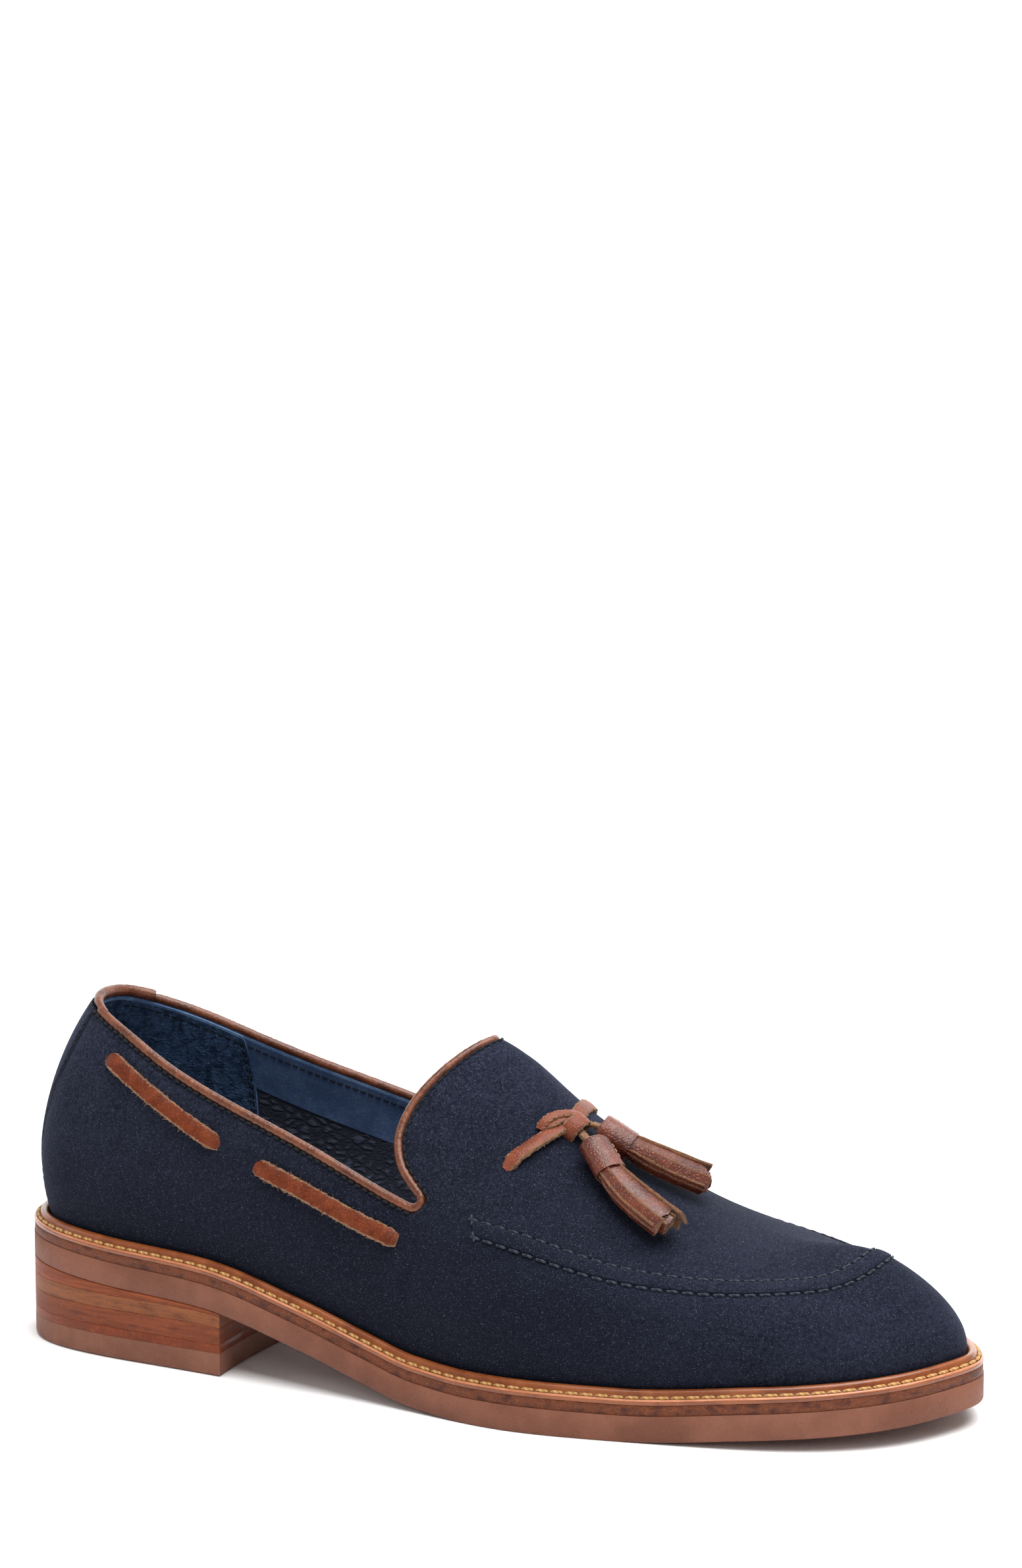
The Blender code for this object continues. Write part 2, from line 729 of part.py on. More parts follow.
def heel_cap(start, count):
    """Faces that close the heel's outline at one level."""
    faces = [(start, start + 1, start + count - 1)]
    for i in range(1, HEEL_COLUMNS - 1):
        a = start + i
        b = start + count - i
        faces.append((a, a + 1, b - 1))
        faces.append((a, b - 1, b))
    faces.append(tuple(range(start + HEEL_COLUMNS - 1, start + count - HEEL_COLUMNS + 2)))
    return faces


def heel_piece(name, low, high, material, collection):
    """A layer of the heel between two levels, each a function of x."""
    outline = heel_outline()
    count = len(outline)
    points = [(x, y, low(x)) for x, y in outline] + [(x, y, high(x)) for x, y in outline]
    faces = loop_faces(0, count, count) + heel_cap(0, count) + heel_cap(count, count)
    return make_object(name, points, faces, material, collection)


def build_heel(rubber, red, leather, collection):
    """Top lift, thin layer and leather lifts under the outsole's heel seat."""
    heel_piece("top_lift", lambda x: 0.0, lambda x: TOP_LIFT_THICKNESS, rubber, collection)
    layer_foot = TOP_LIFT_THICKNESS + CLEARANCE
    layer_top = layer_foot + HEEL_LAYER_THICKNESS
    heel_piece("heel_layer", lambda x: layer_foot, lambda x: layer_top, red, collection)
    base = layer_top + CLEARANCE
    back = column_of(LIFTS, LIFT_COLUMNS, "back")
    breast = column_of(LIFTS, LIFT_COLUMNS, "breast")

    def level(x, lift):
        """Height of the top of a lift, with -1 for the foot of the stack."""
        if lift < 0:
            return base
        forward = (x + 0.5 * LENGTH) / HEEL_LENGTH
        share = back[lift] + (breast[lift] - back[lift]) * forward
        return base + share * (sole_level(x) - CLEARANCE - base)

    for lift in range(len(LIFTS)):
        gap = CLEARANCE if lift > 0 else 0.0
        heel_piece(
            "heel_lift_%d" % (lift + 1),
            lambda x: level(x, lift - 1) + gap,
            lambda x: level(x, lift),
            leather,
            collection,
        )


class Grid:
    """Points of the upper's outer surface, kept by column and row."""

    def __init__(self):
        self.points = []
        self.index = {}

    def add(self, key, point):
        """Keeps a point under its key."""
        self.index[key] = len(self.points)
        self.points.append(point)

    def quad(self, keys):
        """Corner numbers of a face without repeats."""
        return tuple(dict.fromkeys(self.index[key] for key in keys))


def upper_shares():
    """Signed shares of the upper's columns, from the toe tip round the heel to the toe again."""
    step = STEP_WIDTH / LENGTH
    stay = BACKSTAY_HALF_WIDTH / LENGTH
    bend = THROAT_ROUND - SHAPE.fillet
    rear = stay + step + (bend - stay - step) * np.linspace(0.0, 1.0, REAR_COLUMNS + 1) ** 1.25
    corner = np.linspace(bend, THROAT_ROUND, FILLET_COLUMNS + 1)
    gap = np.linspace(THROAT_ROUND, BAND_START - step, 4)
    t = np.linspace(0.0, 1.0, FRONT_COLUMNS + 1)
    front = BAND_START + (1.0 - BAND_START) * (t + 0.08 * np.sin(math.pi * t))
    side = np.concatenate([[0.0, 0.5 * stay, stay], rear, corner[1:], gap[1:], front])
    return np.concatenate([-side[:0:-1], side[:-1]])


def crown_steps(share):
    """Rows of the crown at a column: both edges of the apron band, then on to the ridge."""
    size = np.linalg.norm(SHAPE.ridge_at(SHAPE.ridge_share(share)) - SHAPE.line(share))
    band = BAND_WIDTH / size
    step = STEP_WIDTH / size
    rest = band + (1.0 - band) * np.linspace(0.0, 1.0, CROWN_ROWS + 1) ** 1.3
    return np.concatenate([[0.0, step, 0.5 * band, band - step], rest])


def build_upper(material, collection):
    """The hollow upper: its outer surface from the last, a wall inside it, and raised overlays."""
    shares = upper_shares()
    count = len(shares)
    grid = Grid()
    wall_steps = np.linspace(0.0, 1.0, WALL_ROWS + 1)
    for c, share in enumerate(shares):
        for r, t in enumerate(wall_steps):
            grid.add(("wall", c, r), SHAPE.wall(share, t))
    in_front = [c for c in range(count) if abs(shares[c]) > THROAT_ROUND - 1e-6]
    top = len(crown_steps(1.0)) - 1
    for c in in_front:
        steps = crown_steps(shares[c])
        grid.index[("crown", c, 0)] = grid.index[("wall", c, WALL_ROWS)]
        for r in range(1, top):
            grid.add(("crown", c, r), SHAPE.crown(shares[c], steps[r]))
        if shares[c] < 0.0:
            grid.add(("crown", c, top), SHAPE.crown(shares[c], 1.0))
    for c in in_front:
        if shares[c] > 0.0:
            twin = int(np.argmin(np.abs(shares + shares[c])))
            grid.index[("crown", c, top)] = grid.index[("crown", twin, top)]
    faces = []
    for c in range(count):
        k = (c + 1) % count
        for r in range(WALL_ROWS):
            keys = (("wall", c, r), ("wall", k, r), ("wall", k, r + 1), ("wall", c, r + 1))
            faces.append(grid.quad(keys))
        if c in in_front and k in in_front:
            for r in range(top):
                keys = (("crown", c, r), ("crown", k, r), ("crown", k, r + 1), ("crown", c, r + 1))
                faces.append(grid.quad(keys))
    upper = make_object("upper", grid.points, faces, material, collection)
    shell = upper.modifiers.new("wall", "SOLIDIFY")
    shell.thickness = UPPER_WALL
    shell.offset = -1.0
    shell.use_even_offset = True
    settle(upper)
    vertices = upper.data.vertices
    outer = len(grid.points)
    for c, share in enumerate(shares):
        foot = vertices[grid.index[("wall", c, 0)] + outer]
        foot.co.z = sole_level(foot.co.x) + WELT_RISE
        if abs(share) < BACKSTAY_HALF_WIDTH / LENGTH + 1e-6:
            for r in range(1, WALL_ROWS + 1):
                shift = SHAPE.normal(share, wall_steps[r]) * BACKSTAY_RAISE
                vertex = vertices[grid.index[("wall", c, r)]]
                vertex.co = [a + b for a, b in zip(vertex.co, shift)]
        if abs(share) > BAND_START - 1e-6:
            steps = crown_steps(share)
            for r in (1, 2, 3):
                shift = SHAPE.normal(share, 1.0 + steps[r]) * BAND_RAISE
                vertex = vertices[grid.index[("crown", c, r)]]
                vertex.co = [a + b for a, b in zip(vertex.co, shift)]
    return upper


def rim_point(share, climb, radius):
    """Centre of a round edging of the given radius that rides on the rim."""
    near = SHAPE.NEAR
    point = SHAPE.point(share, climb)
    out = SHAPE.normal(share, climb)
    if climb > 1.0:
        edge = SHAPE.point(share, min(2.0, climb + near)) - SHAPE.point(share, climb - near)
        away = SHAPE.point(share, climb) - SHAPE.point(share + math.copysign(near, share), climb)
    else:
        step = 0.2 * near
        side = math.copysign(1.0, share)
        ahead = min(abs(share) + step, THROAT_ROUND)
        edge = SHAPE.point(side * ahead, climb) - SHAPE.point(side * (abs(share) - step), climb)
        away = SHAPE.point(share, climb) - SHAPE.point(share, climb - near)
    edge = edge / np.linalg.norm(edge)
    away = away - np.dot(away, edge) * edge
    away = away - np.dot(away, out) * out
    away = away / np.linalg.norm(away)
    return point - 0.5 * UPPER_WALL * out + (radius + RIM_CLEARANCE) * away


def build_tube(name, points, radius, sides, material, collection):
    """A round edging along a path, with flat ends."""
    curve = bpy.data.curves.new(name, "CURVE")
    curve.dimensions = "3D"
    curve.bevel_depth = radius
    curve.bevel_resolution = sides // 4 - 1
    curve.use_fill_caps = True
    spline = curve.splines.new("POLY")
    spline.points.add(len(points) - 1)
    for place, point in zip(spline.points, points):
        place.co = (*map(float, point), 1.0)
    curve.materials.append(material)
    made = bpy.data.objects.new(name, curve)
    collection.objects.link(made)
    return made


def build_piping(material, collection):
    """Round piping along the collar and the throat, and the thicker binding at the heel."""
    seam = 1.5 * CLEARANCE / LENGTH
    rear = [share for share in upper_shares() if 0.0 <= share <= THROAT_ROUND + 1e-6]
    climbs = 1.0 + np.delete(crown_steps(THROAT_ROUND), (0, 1))
    points = []
    for side, start in ((1.0, BINDING_LATERAL), (-1.0, BINDING_MEDIAL)):
        shares = [start + seam] + [share for share in rear if share > start + 4.0 * seam]
        path = [rim_point(side * share, 1.0, PIPING_RADIUS) for share in shares]
        path += [rim_point(side * THROAT_ROUND, climb, PIPING_RADIUS) for climb in climbs]
        points += path if side > 0.0 else path[-2::-1]
    build_tube("collar_piping", points, PIPING_RADIUS, 8, material, collection)
    lateral = [share for share in rear if share < BINDING_LATERAL - 4.0 * seam]
    medial = [-share for share in rear if 0.0 < share < BINDING_MEDIAL - 4.0 * seam]
    back = [-BINDING_MEDIAL] + medial[::-1] + lateral + [BINDING_LATERAL]
    points = [rim_point(share, 1.0, BINDING_RADIUS) for share in back]
    build_tube("heel_binding", points, BINDING_RADIUS, 8, material, collection)


def over_upper(share, climb, lift):
    """Point off the upper and the surface's normal there, with climb past 2 on the far side."""
    if climb > 2.0:
        share = -share
        climb = 4.0 - climb
    out = SHAPE.normal(share, climb)
    return SHAPE.point(share, climb) + out * lift, out


def path_over_upper(rows, count, side=1.0):
    """Centres and normals along a centre line given by rows of the table."""
    keys = np.arange(float(len(rows)))
    places = np.linspace(0.0, keys[-1], count)
    values = [steady_spline(keys, column_of(rows, PATH_COLUMNS, name), places) for name in PATH_COLUMNS]
    pairs = [over_upper(side * share, climb, lift) for share, climb, lift in zip(*values)]
    return [pair[0] for pair in pairs], [pair[1] for pair in pairs]


def directions(centres):
    """Unit direction of travel at each centre."""
    steps = np.gradient(np.array(centres), axis=0)
    return steps / np.linalg.norm(steps, axis=1)[:, None]


def loft(name, centres, ups, outlines, material, collection):
    """A solid through one outline at each centre, across the travel and along the up direction."""
    points = []
    for centre, travel, up, outline in zip(centres, directions(centres), ups, outlines):
        side = np.cross(travel, up)
        side = side / np.linalg.norm(side)
        rise = np.cross(side, travel)
        points.extend(centre + a * side + b * rise for a, b in outline)
    count = len(outlines[0])
    last = count * (len(centres) - 1)
    faces = []
    for start in range(0, last, count):
        faces += loop_faces(start, start + count, count)
    faces += [tuple(range(count)), tuple(range(last, last + count))]
    return make_object(name, points, faces, material, collection)


def build_strip(name, rows, width, thickness, count, side, material, collection):
    """A domed strip over the upper, thinner at its two ends where it passes through it."""
    centres, ups = path_over_upper(rows, count, side)
    outlines = []
    for i in range(count):
        end = 0.72 if i in (0, count - 1) else 1.0
        outlines.append([(a * width * end, b * thickness * end * end) for a, b in STRIP_SECTION])
    return loft(name, centres, ups, outlines, material, collection)


def build_laces(material, collection):
    """The side laces, seen where they lie between their slots."""
    for place, rows in (("rear", SIDE_LACE_REAR), ("front", SIDE_LACE_FRONT)):
        for side, word in ((1.0, "lateral"), (-1.0, "medial")):
            name = "side_lace_%s_%s" % (word, place)
            build_strip(name, rows, LACE_WIDTH, LACE_THICKNESS, 7, side, material, collection)


def build_tie(material, collection):
    """The strap over the vamp, its loop and knot, and the thongs of the tassels."""
    for name, rows, width, count in (
        ("vamp_strap_lateral", LATERAL_STRAP, STRAP_WIDTH, 6),
        ("vamp_strap_medial", MEDIAL_STRAP, STRAP_WIDTH, 11),
        ("thong_near", NEAR_THONG, THONG_WIDTH, 5),
        ("thong_far", FAR_THONG, THONG_WIDTH, 5),
    ):
        build_strip(name, rows, width, LACE_THICKNESS, count, 1.0, material, collection)
    centres, ups = path_over_upper(TIE_LOOP, 8)
    half = 0.5 * LACE_THICKNESS
    outline = [(-half, 0.0), (half, 0.0), (half, LOOP_WIDTH), (-half, LOOP_WIDTH)]
    loft("vamp_loop", centres, ups, [outline] * len(centres), material, collection)
    middle, up = over_upper(*KNOT_PLACE, 2.0 * CLEARANCE)
    ahead, _ = over_upper(KNOT_PLACE[0] + SHAPE.NEAR, KNOT_PLACE[1], 2.0 * CLEARANCE)
    travel = (ahead - middle) / np.linalg.norm(ahead - middle)
    angles = np.linspace(0.0, math.pi, 9)
    outlines = []
    centres = []
    for place, size in ((-0.5, 0.86), (-0.42, 1.0), (0.42, 1.0), (0.5, 0.86)):
        centres.append(middle + travel * place * KNOT_WIDTH)
        across = KNOT_HALF_LENGTH * size
        rise = KNOT_HEIGHT * size
        outlines.append([(across * math.cos(a), rise * math.sin(a)) for a in angles])
    loft("vamp_knot", centres, [up] * 4, outlines, material, collection)


def build_tassel(name, rows, material, collection, cutters):
    """A rolled cap with its fringe strips fused into its lower end."""
    ends, ups = path_over_upper(rows, 3)
    top, neck, tip = ends
    length = np.linalg.norm(neck - top)
    angles = np.linspace(0.0, 2.0 * math.pi, 16, endpoint=False)
    outlines = []
    centres = []
    for place, size in ((0.0, 0.86), (0.06, 0.96), (0.5, 1.0), (0.95, 1.02), (1.0, 0.97)):
        centres.append(top + (neck - top) * place)
        width = CAP_HALF_WIDTH * size
        rise = CAP_HALF_THICKNESS * size
        outlines.append([(width * math.cos(a), rise * math.sin(a)) for a in angles])
    cap = loft(name, centres, [ups[0]] * len(centres), outlines, material, collection)
    start = neck - (neck - top) * 0.2 * CAP_HALF_WIDTH / length
    handle = neck + (neck - top) * 0.45
    half = 0.5 * STRIP_THICKNESS
    for number, (angle, share) in enumerate(FRINGE):
        turn = math.radians(angle)
        stations = np.linspace(0.0, share, 6)
        spine = [(1 - t) ** 2 * start + 2 * t * (1 - t) * handle + t * t * tip for t in stations]
        centres = []
        radials = []
        for t, point, travel in zip(stations, spine, directions(spine)):
            side = np.cross(travel, ups[1])
            side = side / np.linalg.norm(side)
            rise = np.cross(side, travel)
            reach = 1.0 + (STRIP_SPREAD - 1.0) * t
            out = (
                side * math.cos(turn) * (CAP_HALF_WIDTH - STRIP_THICKNESS) * reach
                + rise * math.sin(turn) * (CAP_HALF_THICKNESS - STRIP_THICKNESS)
            )
            centres.append(point + out)
            radials.append(out / np.linalg.norm(out))
        w = 0.5 * STRIP_WIDTH
        outline = [(-w, -half), (0.0, -half), (w, -half), (w, half), (0.0, half), (-w, half)]
        strip = loft("%s_strip_%d" % (name, number + 1), centres, radials, [outline] * 6, material, cutters)
        notch = directions(centres)[-1] * STRIP_NOTCH
        for corner in (31, 34):
            vertex = strip.data.vertices[corner]
            vertex.co = [a - b for a, b in zip(vertex.co, notch)]
        strip.hide_render = True
        strip.display_type = "WIRE"
        fuse = cap.modifiers.new("strip_%d" % (number + 1), "BOOLEAN")
        fuse.operation = "UNION"
        fuse.solver = "EXACT"
        fuse.object = strip
    return cap


def build():
    """Builds every piece in one collection."""
    for old in list(bpy.data.objects):
        bpy.data.objects.remove(old, do_unlink=True)
    collection = bpy.data.collections.new("tassel_loafer")
    bpy.context.scene.collection.children.link(collection)
    cutters = bpy.data.collections.new("cutters")
    bpy.context.scene.collection.children.link(cutters)
    suede = make_material("navy_suede", (0.012, 0.018, 0.045), 0.95)
    rubber = make_material("brown_rubber", (0.26, 0.11, 0.07), 0.7)
    midsole = make_material("midsole_leather", (0.10, 0.035, 0.02), 0.7)
    welt = make_material("welt_leather", (0.33, 0.10, 0.025), 0.45)
    build_outsole(rubber, collection)
    build_midsole(midsole, collection)
    build_welt(welt, collection)
    build_upper(suede, collection)
    insole = make_material("insole_leather", (0.10, 0.05, 0.03), 0.6)
    red = make_material("heel_layer_red", (0.35, 0.10, 0.05), 0.6)
    lift = make_material("lift_leather", (0.36, 0.14, 0.05), 0.55)
    tan = make_material("brown_leather", (0.28, 0.08, 0.03), 0.4)
    build_insole(insole, collection)
    build_heel(rubber, red, lift, collection)
    build_piping(tan, collection)
    raw = make_material("raw_edge_leather", (0.33, 0.11, 0.06), 0.6)
    build_laces(raw, collection)
    build_tie(raw, collection)
    tassel = make_material("tassel_leather", (0.24, 0.06, 0.03), 0.45)
    build_tassel("tassel_near", NEAR_TASSEL, tassel, collection, cutters)
    build_tassel("tassel_far", FAR_TASSEL, tassel, collection, cutters)


build()
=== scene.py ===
"""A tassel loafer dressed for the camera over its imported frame.

Sizes are in metres. They repeat those of the part's source, but the tie, the tassels, the heel
binding and the backstay were fitted further to the photograph here, and lie some millimetres from
their solids.
"""

from __future__ import annotations

import logging
import math
from dataclasses import dataclass, field
from enum import Enum
from functools import lru_cache
from typing import Callable, Sequence

import bmesh
import bpy
import numpy as np
from mathutils import Matrix, Vector


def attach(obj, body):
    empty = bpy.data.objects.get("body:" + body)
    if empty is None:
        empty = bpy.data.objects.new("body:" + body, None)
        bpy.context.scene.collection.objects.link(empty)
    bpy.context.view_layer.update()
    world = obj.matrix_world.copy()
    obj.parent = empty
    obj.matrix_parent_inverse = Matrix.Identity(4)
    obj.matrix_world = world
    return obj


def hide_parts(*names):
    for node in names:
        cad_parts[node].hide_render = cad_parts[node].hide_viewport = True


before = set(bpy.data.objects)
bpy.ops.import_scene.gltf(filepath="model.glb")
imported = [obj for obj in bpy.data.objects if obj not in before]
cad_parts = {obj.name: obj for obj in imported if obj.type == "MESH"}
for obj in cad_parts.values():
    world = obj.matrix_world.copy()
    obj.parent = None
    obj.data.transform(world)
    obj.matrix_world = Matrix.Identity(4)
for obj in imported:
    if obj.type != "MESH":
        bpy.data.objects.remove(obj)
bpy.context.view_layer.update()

LOG = logging.getLogger("tassel_loafer")
Colour = tuple[float, float, float]
Point = np.ndarray
Rows = Sequence[Sequence[float]]
Paths = Sequence[Sequence[Point]]


def columns(names: str, *rows: Sequence[float]) -> dict[str, Point]:
    """The columns of a table.

    Args:
        names: Name of each column.
        *rows: The rows.

    Returns:
        An array for each name.
    """
    return {name: np.array([row[k] for row in rows], dtype=float) for k, name in enumerate(names.split())}


# Sizes of the part's source, in metres
LENGTH = 0.3024
BALL_WIDTH = 0.1087
INSTEP_HEIGHT = 0.1000
CLEARANCE = 0.0003
RIM_CLEARANCE = 0.0005
OUTSOLE_THICKNESS = 0.0075
MIDSOLE_THICKNESS = 0.0028
HEEL_HEIGHT = 0.0256
TOE_SPRING = 0.0064
HEEL_LENGTH = 0.0830
HEEL_BREAST_HOLLOW = 0.0020
TOP_LIFT_THICKNESS = 0.0070
HEEL_LAYER_THICKNESS = 0.0024
INSOLE_THICKNESS = 0.0030
WELT_WIDTH = 0.0061
WELT_RIB_HEIGHT = 0.0037
WELT_RIB_WIDTH = 0.0026
WELT_BED_HEIGHT = 0.0015
WELT_LIP = 0.0008
UPPER_WALL = 0.0020
BAND_WIDTH = 0.0055
BAND_RAISE = 0.0005
BACKSTAY_RAISE = 0.0005
BACKSTAY_HALF_WIDTH = 0.0090  # of its solid; here it only places columns of the mesh
STEP_WIDTH = 0.0006
THROAT_TIP_START = 0.0018
THROAT_TIP_RISE = 0.0026
THROAT_TIP_FORWARD = 0.0028
THROAT_TIP_RADIUS = 0.0033
PIPING_RADIUS = 0.0014
BINDING_RADIUS = 0.0020
MIDSOLE_RISE = OUTSOLE_THICKNESS + CLEARANCE
WELT_RISE = MIDSOLE_RISE + MIDSOLE_THICKNESS + CLEARANCE

# Places round the shoe, from the heel back (0) to the toe tip (1)
THROAT_ROUND = 0.470
THROAT_FADE = 0.070
BAND_START = 0.542
BINDING_LATERAL = 0.075
BACKSTAY_FOOT = 0.040
BACKSTAY_SPREAD = 0.018

# A piece's UV map holds lengths times this
UV_SCALE = 10.0

# Sole edge from above: share of the length, lateral and medial half width as shares of the ball width
SOLE_EDGE = columns(
    "along lateral medial",
    (0.030, 0.184, 0.191),
    (0.100, 0.274, 0.284),
    (0.200, 0.311, 0.309),
    (0.330, 0.350, 0.295),
    (0.430, 0.382, 0.305),
    (0.530, 0.431, 0.371),
    (0.600, 0.460, 0.445),
    (0.670, 0.447, 0.514),
    (0.740, 0.415, 0.538),
    (0.820, 0.374, 0.501),
    (0.900, 0.294, 0.428),
    (0.955, 0.172, 0.337),
    (0.988, 0.023, 0.205),
)
TOE_TIP_ACROSS = 0.090

# Underside of the outsole: share of the length, height as shares of the heel height and toe spring
UNDERSIDE = columns(
    "along heel toe",
    (0.00, 1.000, 0.0),
    (0.13, 0.870, 0.0),
    (0.25, 0.780, 0.0),
    (0.37, 0.460, 0.0),
    (0.44, 0.220, 0.0),
    (0.50, 0.050, 0.0),
    (0.56, 0.000, 0.0),
    (0.71, 0.000, 0.0),
    (0.83, 0.000, 0.42),
    (1.00, 0.000, 1.0),
)

# The last, a row for each column of the upper from the heel back (0) round to the toe (1).
# Collar and apron line: share of the length, half widths as shares of the ball width, heights as
# shares of the instep height. Ridge: share of the length. Flare and lean: degrees from upright.
LAST = columns(
    "round along lateral medial lateral_up medial_up flare lean",
    (0.000, 0.0715, 0.000, 0.000, 1.050, 1.050, 18.0, 36.0),
    (0.030, 0.0755, 0.067, 0.073, 1.043, 1.046, 18.0, 35.0),
    (0.065, 0.094, 0.131, 0.139, 1.020, 1.026, 23.0, 33.0),
    (0.113, 0.136, 0.184, 0.196, 0.965, 0.980, 21.0, 23.0),
    (0.170, 0.186, 0.221, 0.233, 0.890, 0.920, 18.0, 17.0),
    (0.250, 0.265, 0.258, 0.262, 0.795, 0.836, 17.0, 14.0),
    (0.350, 0.370, 0.296, 0.300, 0.685, 0.738, 18.0, 15.0),
    (0.470, 0.490, 0.350, 0.378, 0.558, 0.614, 20.0, 24.0),
    (0.540, 0.559, 0.377, 0.430, 0.519, 0.560, 20.0, 36.0),
    (0.600, 0.618, 0.388, 0.458, 0.485, 0.505, 20.0, 42.0),
    (0.655, 0.674, 0.386, 0.468, 0.448, 0.455, 20.0, 51.0),
    (0.712, 0.727, 0.368, 0.460, 0.425, 0.425, 21.0, 56.0),
    (0.755, 0.765, 0.340, 0.438, 0.415, 0.412, 22.0, 58.0),
    (0.805, 0.804, 0.294, 0.400, 0.408, 0.402, 24.0, 58.0),
    (0.860, 0.846, 0.216, 0.330, 0.405, 0.400, 27.0, 60.0),
    (0.910, 0.881, 0.120, 0.248, 0.407, 0.404, 30.0, 61.0),
    (0.957, 0.903, 0.022, 0.164, 0.432, 0.432, 30.0, 62.0),
    (1.000, 0.911, -0.074, 0.074, 0.452, 0.452, 31.0, 63.0),
)

# Ridge of the vamp: place round the shoe of the column that ends there, share of the length
RIDGE = columns(
    "round along",
    (0.470, 0.518),
    (0.540, 0.568),
    (0.600, 0.620),
    (0.655, 0.668),
    (0.712, 0.712),
    (0.755, 0.740),
    (0.805, 0.765),
    (0.860, 0.785),
    (0.910, 0.799),
    (0.957, 0.808),
    (1.000, 0.812),
)

# Backward sweep of the columns where they cross the collar and apron line, as a share of the length
SWEEP = columns(
    "round sweep",
    (0.360, 0.000),
    (0.470, 0.300),
    (0.540, 0.105),
    (0.600, 0.015),
    (0.655, 0.000),
)

# Forward shift of the tongue's edge over the rounded tip of the throat, in tip radii
TIP = columns(
    "climb forward",
    (0.000, 0.00),
    (0.030, 0.95),
    (0.060, 1.38),
    (0.120, 1.15),
    (0.200, 0.60),
    (0.350, 0.12),
    (0.600, 0.00),
    (1.000, 0.00),
)

# Leather lifts of the heel: top of each as a share of the stack at the back and at the breast
LIFTS = columns(
    "back breast",
    (0.35, 0.55),
    (0.66, 0.93),
    (1.00, 1.00),
)

# Profile of the ridge: share of the length, share of the instep height, share of the ball width
PROFILE = columns(
    "along up across",
    (0.500, 1.020, 0.028),
    (0.518, 1.003, 0.028),
    (0.546, 0.957, 0.030),
    (0.605, 0.801, 0.034),
    (0.683, 0.630, 0.046),
    (0.736, 0.544, 0.055),
    (0.808, 0.489, 0.066),
    (0.850, 0.472, 0.072),
)

# Centre lines over the upper: place round the shoe, climb over the line (1) and the ridge (2)
# to the far side, and height off the surface
SIDE_LACE_REAR = (
    (0.1051, 0.884, 0.0004),
    (0.1802, 0.844, 0.0004),
    (0.2549, 0.787, 0.0004),
)
SIDE_LACE_FRONT = (
    (0.2965, 0.769, 0.0004),
    (0.3743, 0.771, 0.0004),
    (0.4580, 0.799, 0.0004),
)
LATERAL_STRAP = (
    (0.5583, 1.379, 0.0004),
    (0.5690, 1.510, 0.0004),
    (0.5785, 1.660, 0.0004),
    (0.5838, 1.762, 0.0004),
)
MEDIAL_STRAP = (
    (0.5838, 1.845, 0.0006),
    (0.5836, 1.900, 0.0003),
    (0.5806, 2.010, 0.0001),
    (0.5730, 2.300, 0.0002),
    (0.5556, 2.621, 0.0004),
)
TIE_LOOP = (
    (0.5847, 1.885, 0.0018),
    (0.5782, 1.817, 0.0024),
    (0.5717, 1.747, 0.0023),
    (0.5684, 1.682, 0.0015),
    (0.5686, 1.650, 0.0004),
)
TIE_LOOP_INNER = (
    (0.5839, 1.804, 0.0020),
    (0.5771, 1.746, 0.0019),
    (0.5732, 1.689, 0.0013),
    (0.5708, 1.666, 0.0003),
)
NEAR_THONG = (
    (0.5945, 1.800, 0.0014),
    (0.6035, 1.748, 0.0030),
    (0.6118, 1.714, 0.0052),
)
FAR_THONG = (
    (0.5950, 1.872, 0.0016),
    (0.6000, 1.878, 0.0028),
    (0.6072, 1.878, 0.0042),
)
NEAR_TASSEL = (
    (0.6112, 1.706, 0.0056),
    (0.6392, 1.598, 0.0056),
    (0.7192, 1.407, 0.0064),
)
FAR_TASSEL = (
    (0.6060, 1.874, 0.0048),
    (0.6372, 1.898, 0.0052),
    (0.7136, 2.110, 0.0060),
)
KNOT_PLACE = (0.5894, 1.806)

# Soft troughs (negative) and swells of the upper: place round the shoe, climb, half length round
# the shoe and half height over the surface in metres, turn in degrees, and depth in metres
CREASES = (
    (0.112, 0.905, 0.006, 0.004, 0.0, -0.0006),
    (0.249, 0.800, 0.006, 0.004, 0.0, -0.0006),
    (0.303, 0.785, 0.006, 0.004, 0.0, -0.0006),
    (0.452, 0.810, 0.007, 0.005, 0.0, -0.0006),
    (0.272, 0.780, 0.010, 0.007, 0.0, 0.0007),
    (0.405, 0.610, 0.034, 0.006, -18.0, -0.0007),
    (0.330, 0.420, 0.040, 0.007, -12.0, 0.0006),
    (0.520, 0.760, 0.026, 0.006, 24.0, -0.0006),
    (0.570, 0.560, 0.030, 0.007, 12.0, 0.0005),
    (0.610, 1.420, 0.010, 0.012, 0.0, -0.0005),
    (0.665, 1.350, 0.014, 0.012, 0.0, 0.0005),
    (0.700, 0.620, 0.020, 0.008, -10.0, -0.0005),
    (0.790, 0.520, 0.026, 0.008, 0.0, 0.0005),
    (-0.420, 0.600, 0.032, 0.007, 14.0, -0.0007),
    (-0.300, 0.430, 0.034, 0.008, 8.0, 0.0006),
    (-0.560, 0.700, 0.024, 0.006, -20.0, -0.0007),
    (-0.630, 0.560, 0.024, 0.008, 0.0, 0.0005),
    (-0.112, 0.905, 0.006, 0.004, 0.0, -0.0006),
    (-0.452, 0.810, 0.007, 0.005, 0.0, -0.0006),
)


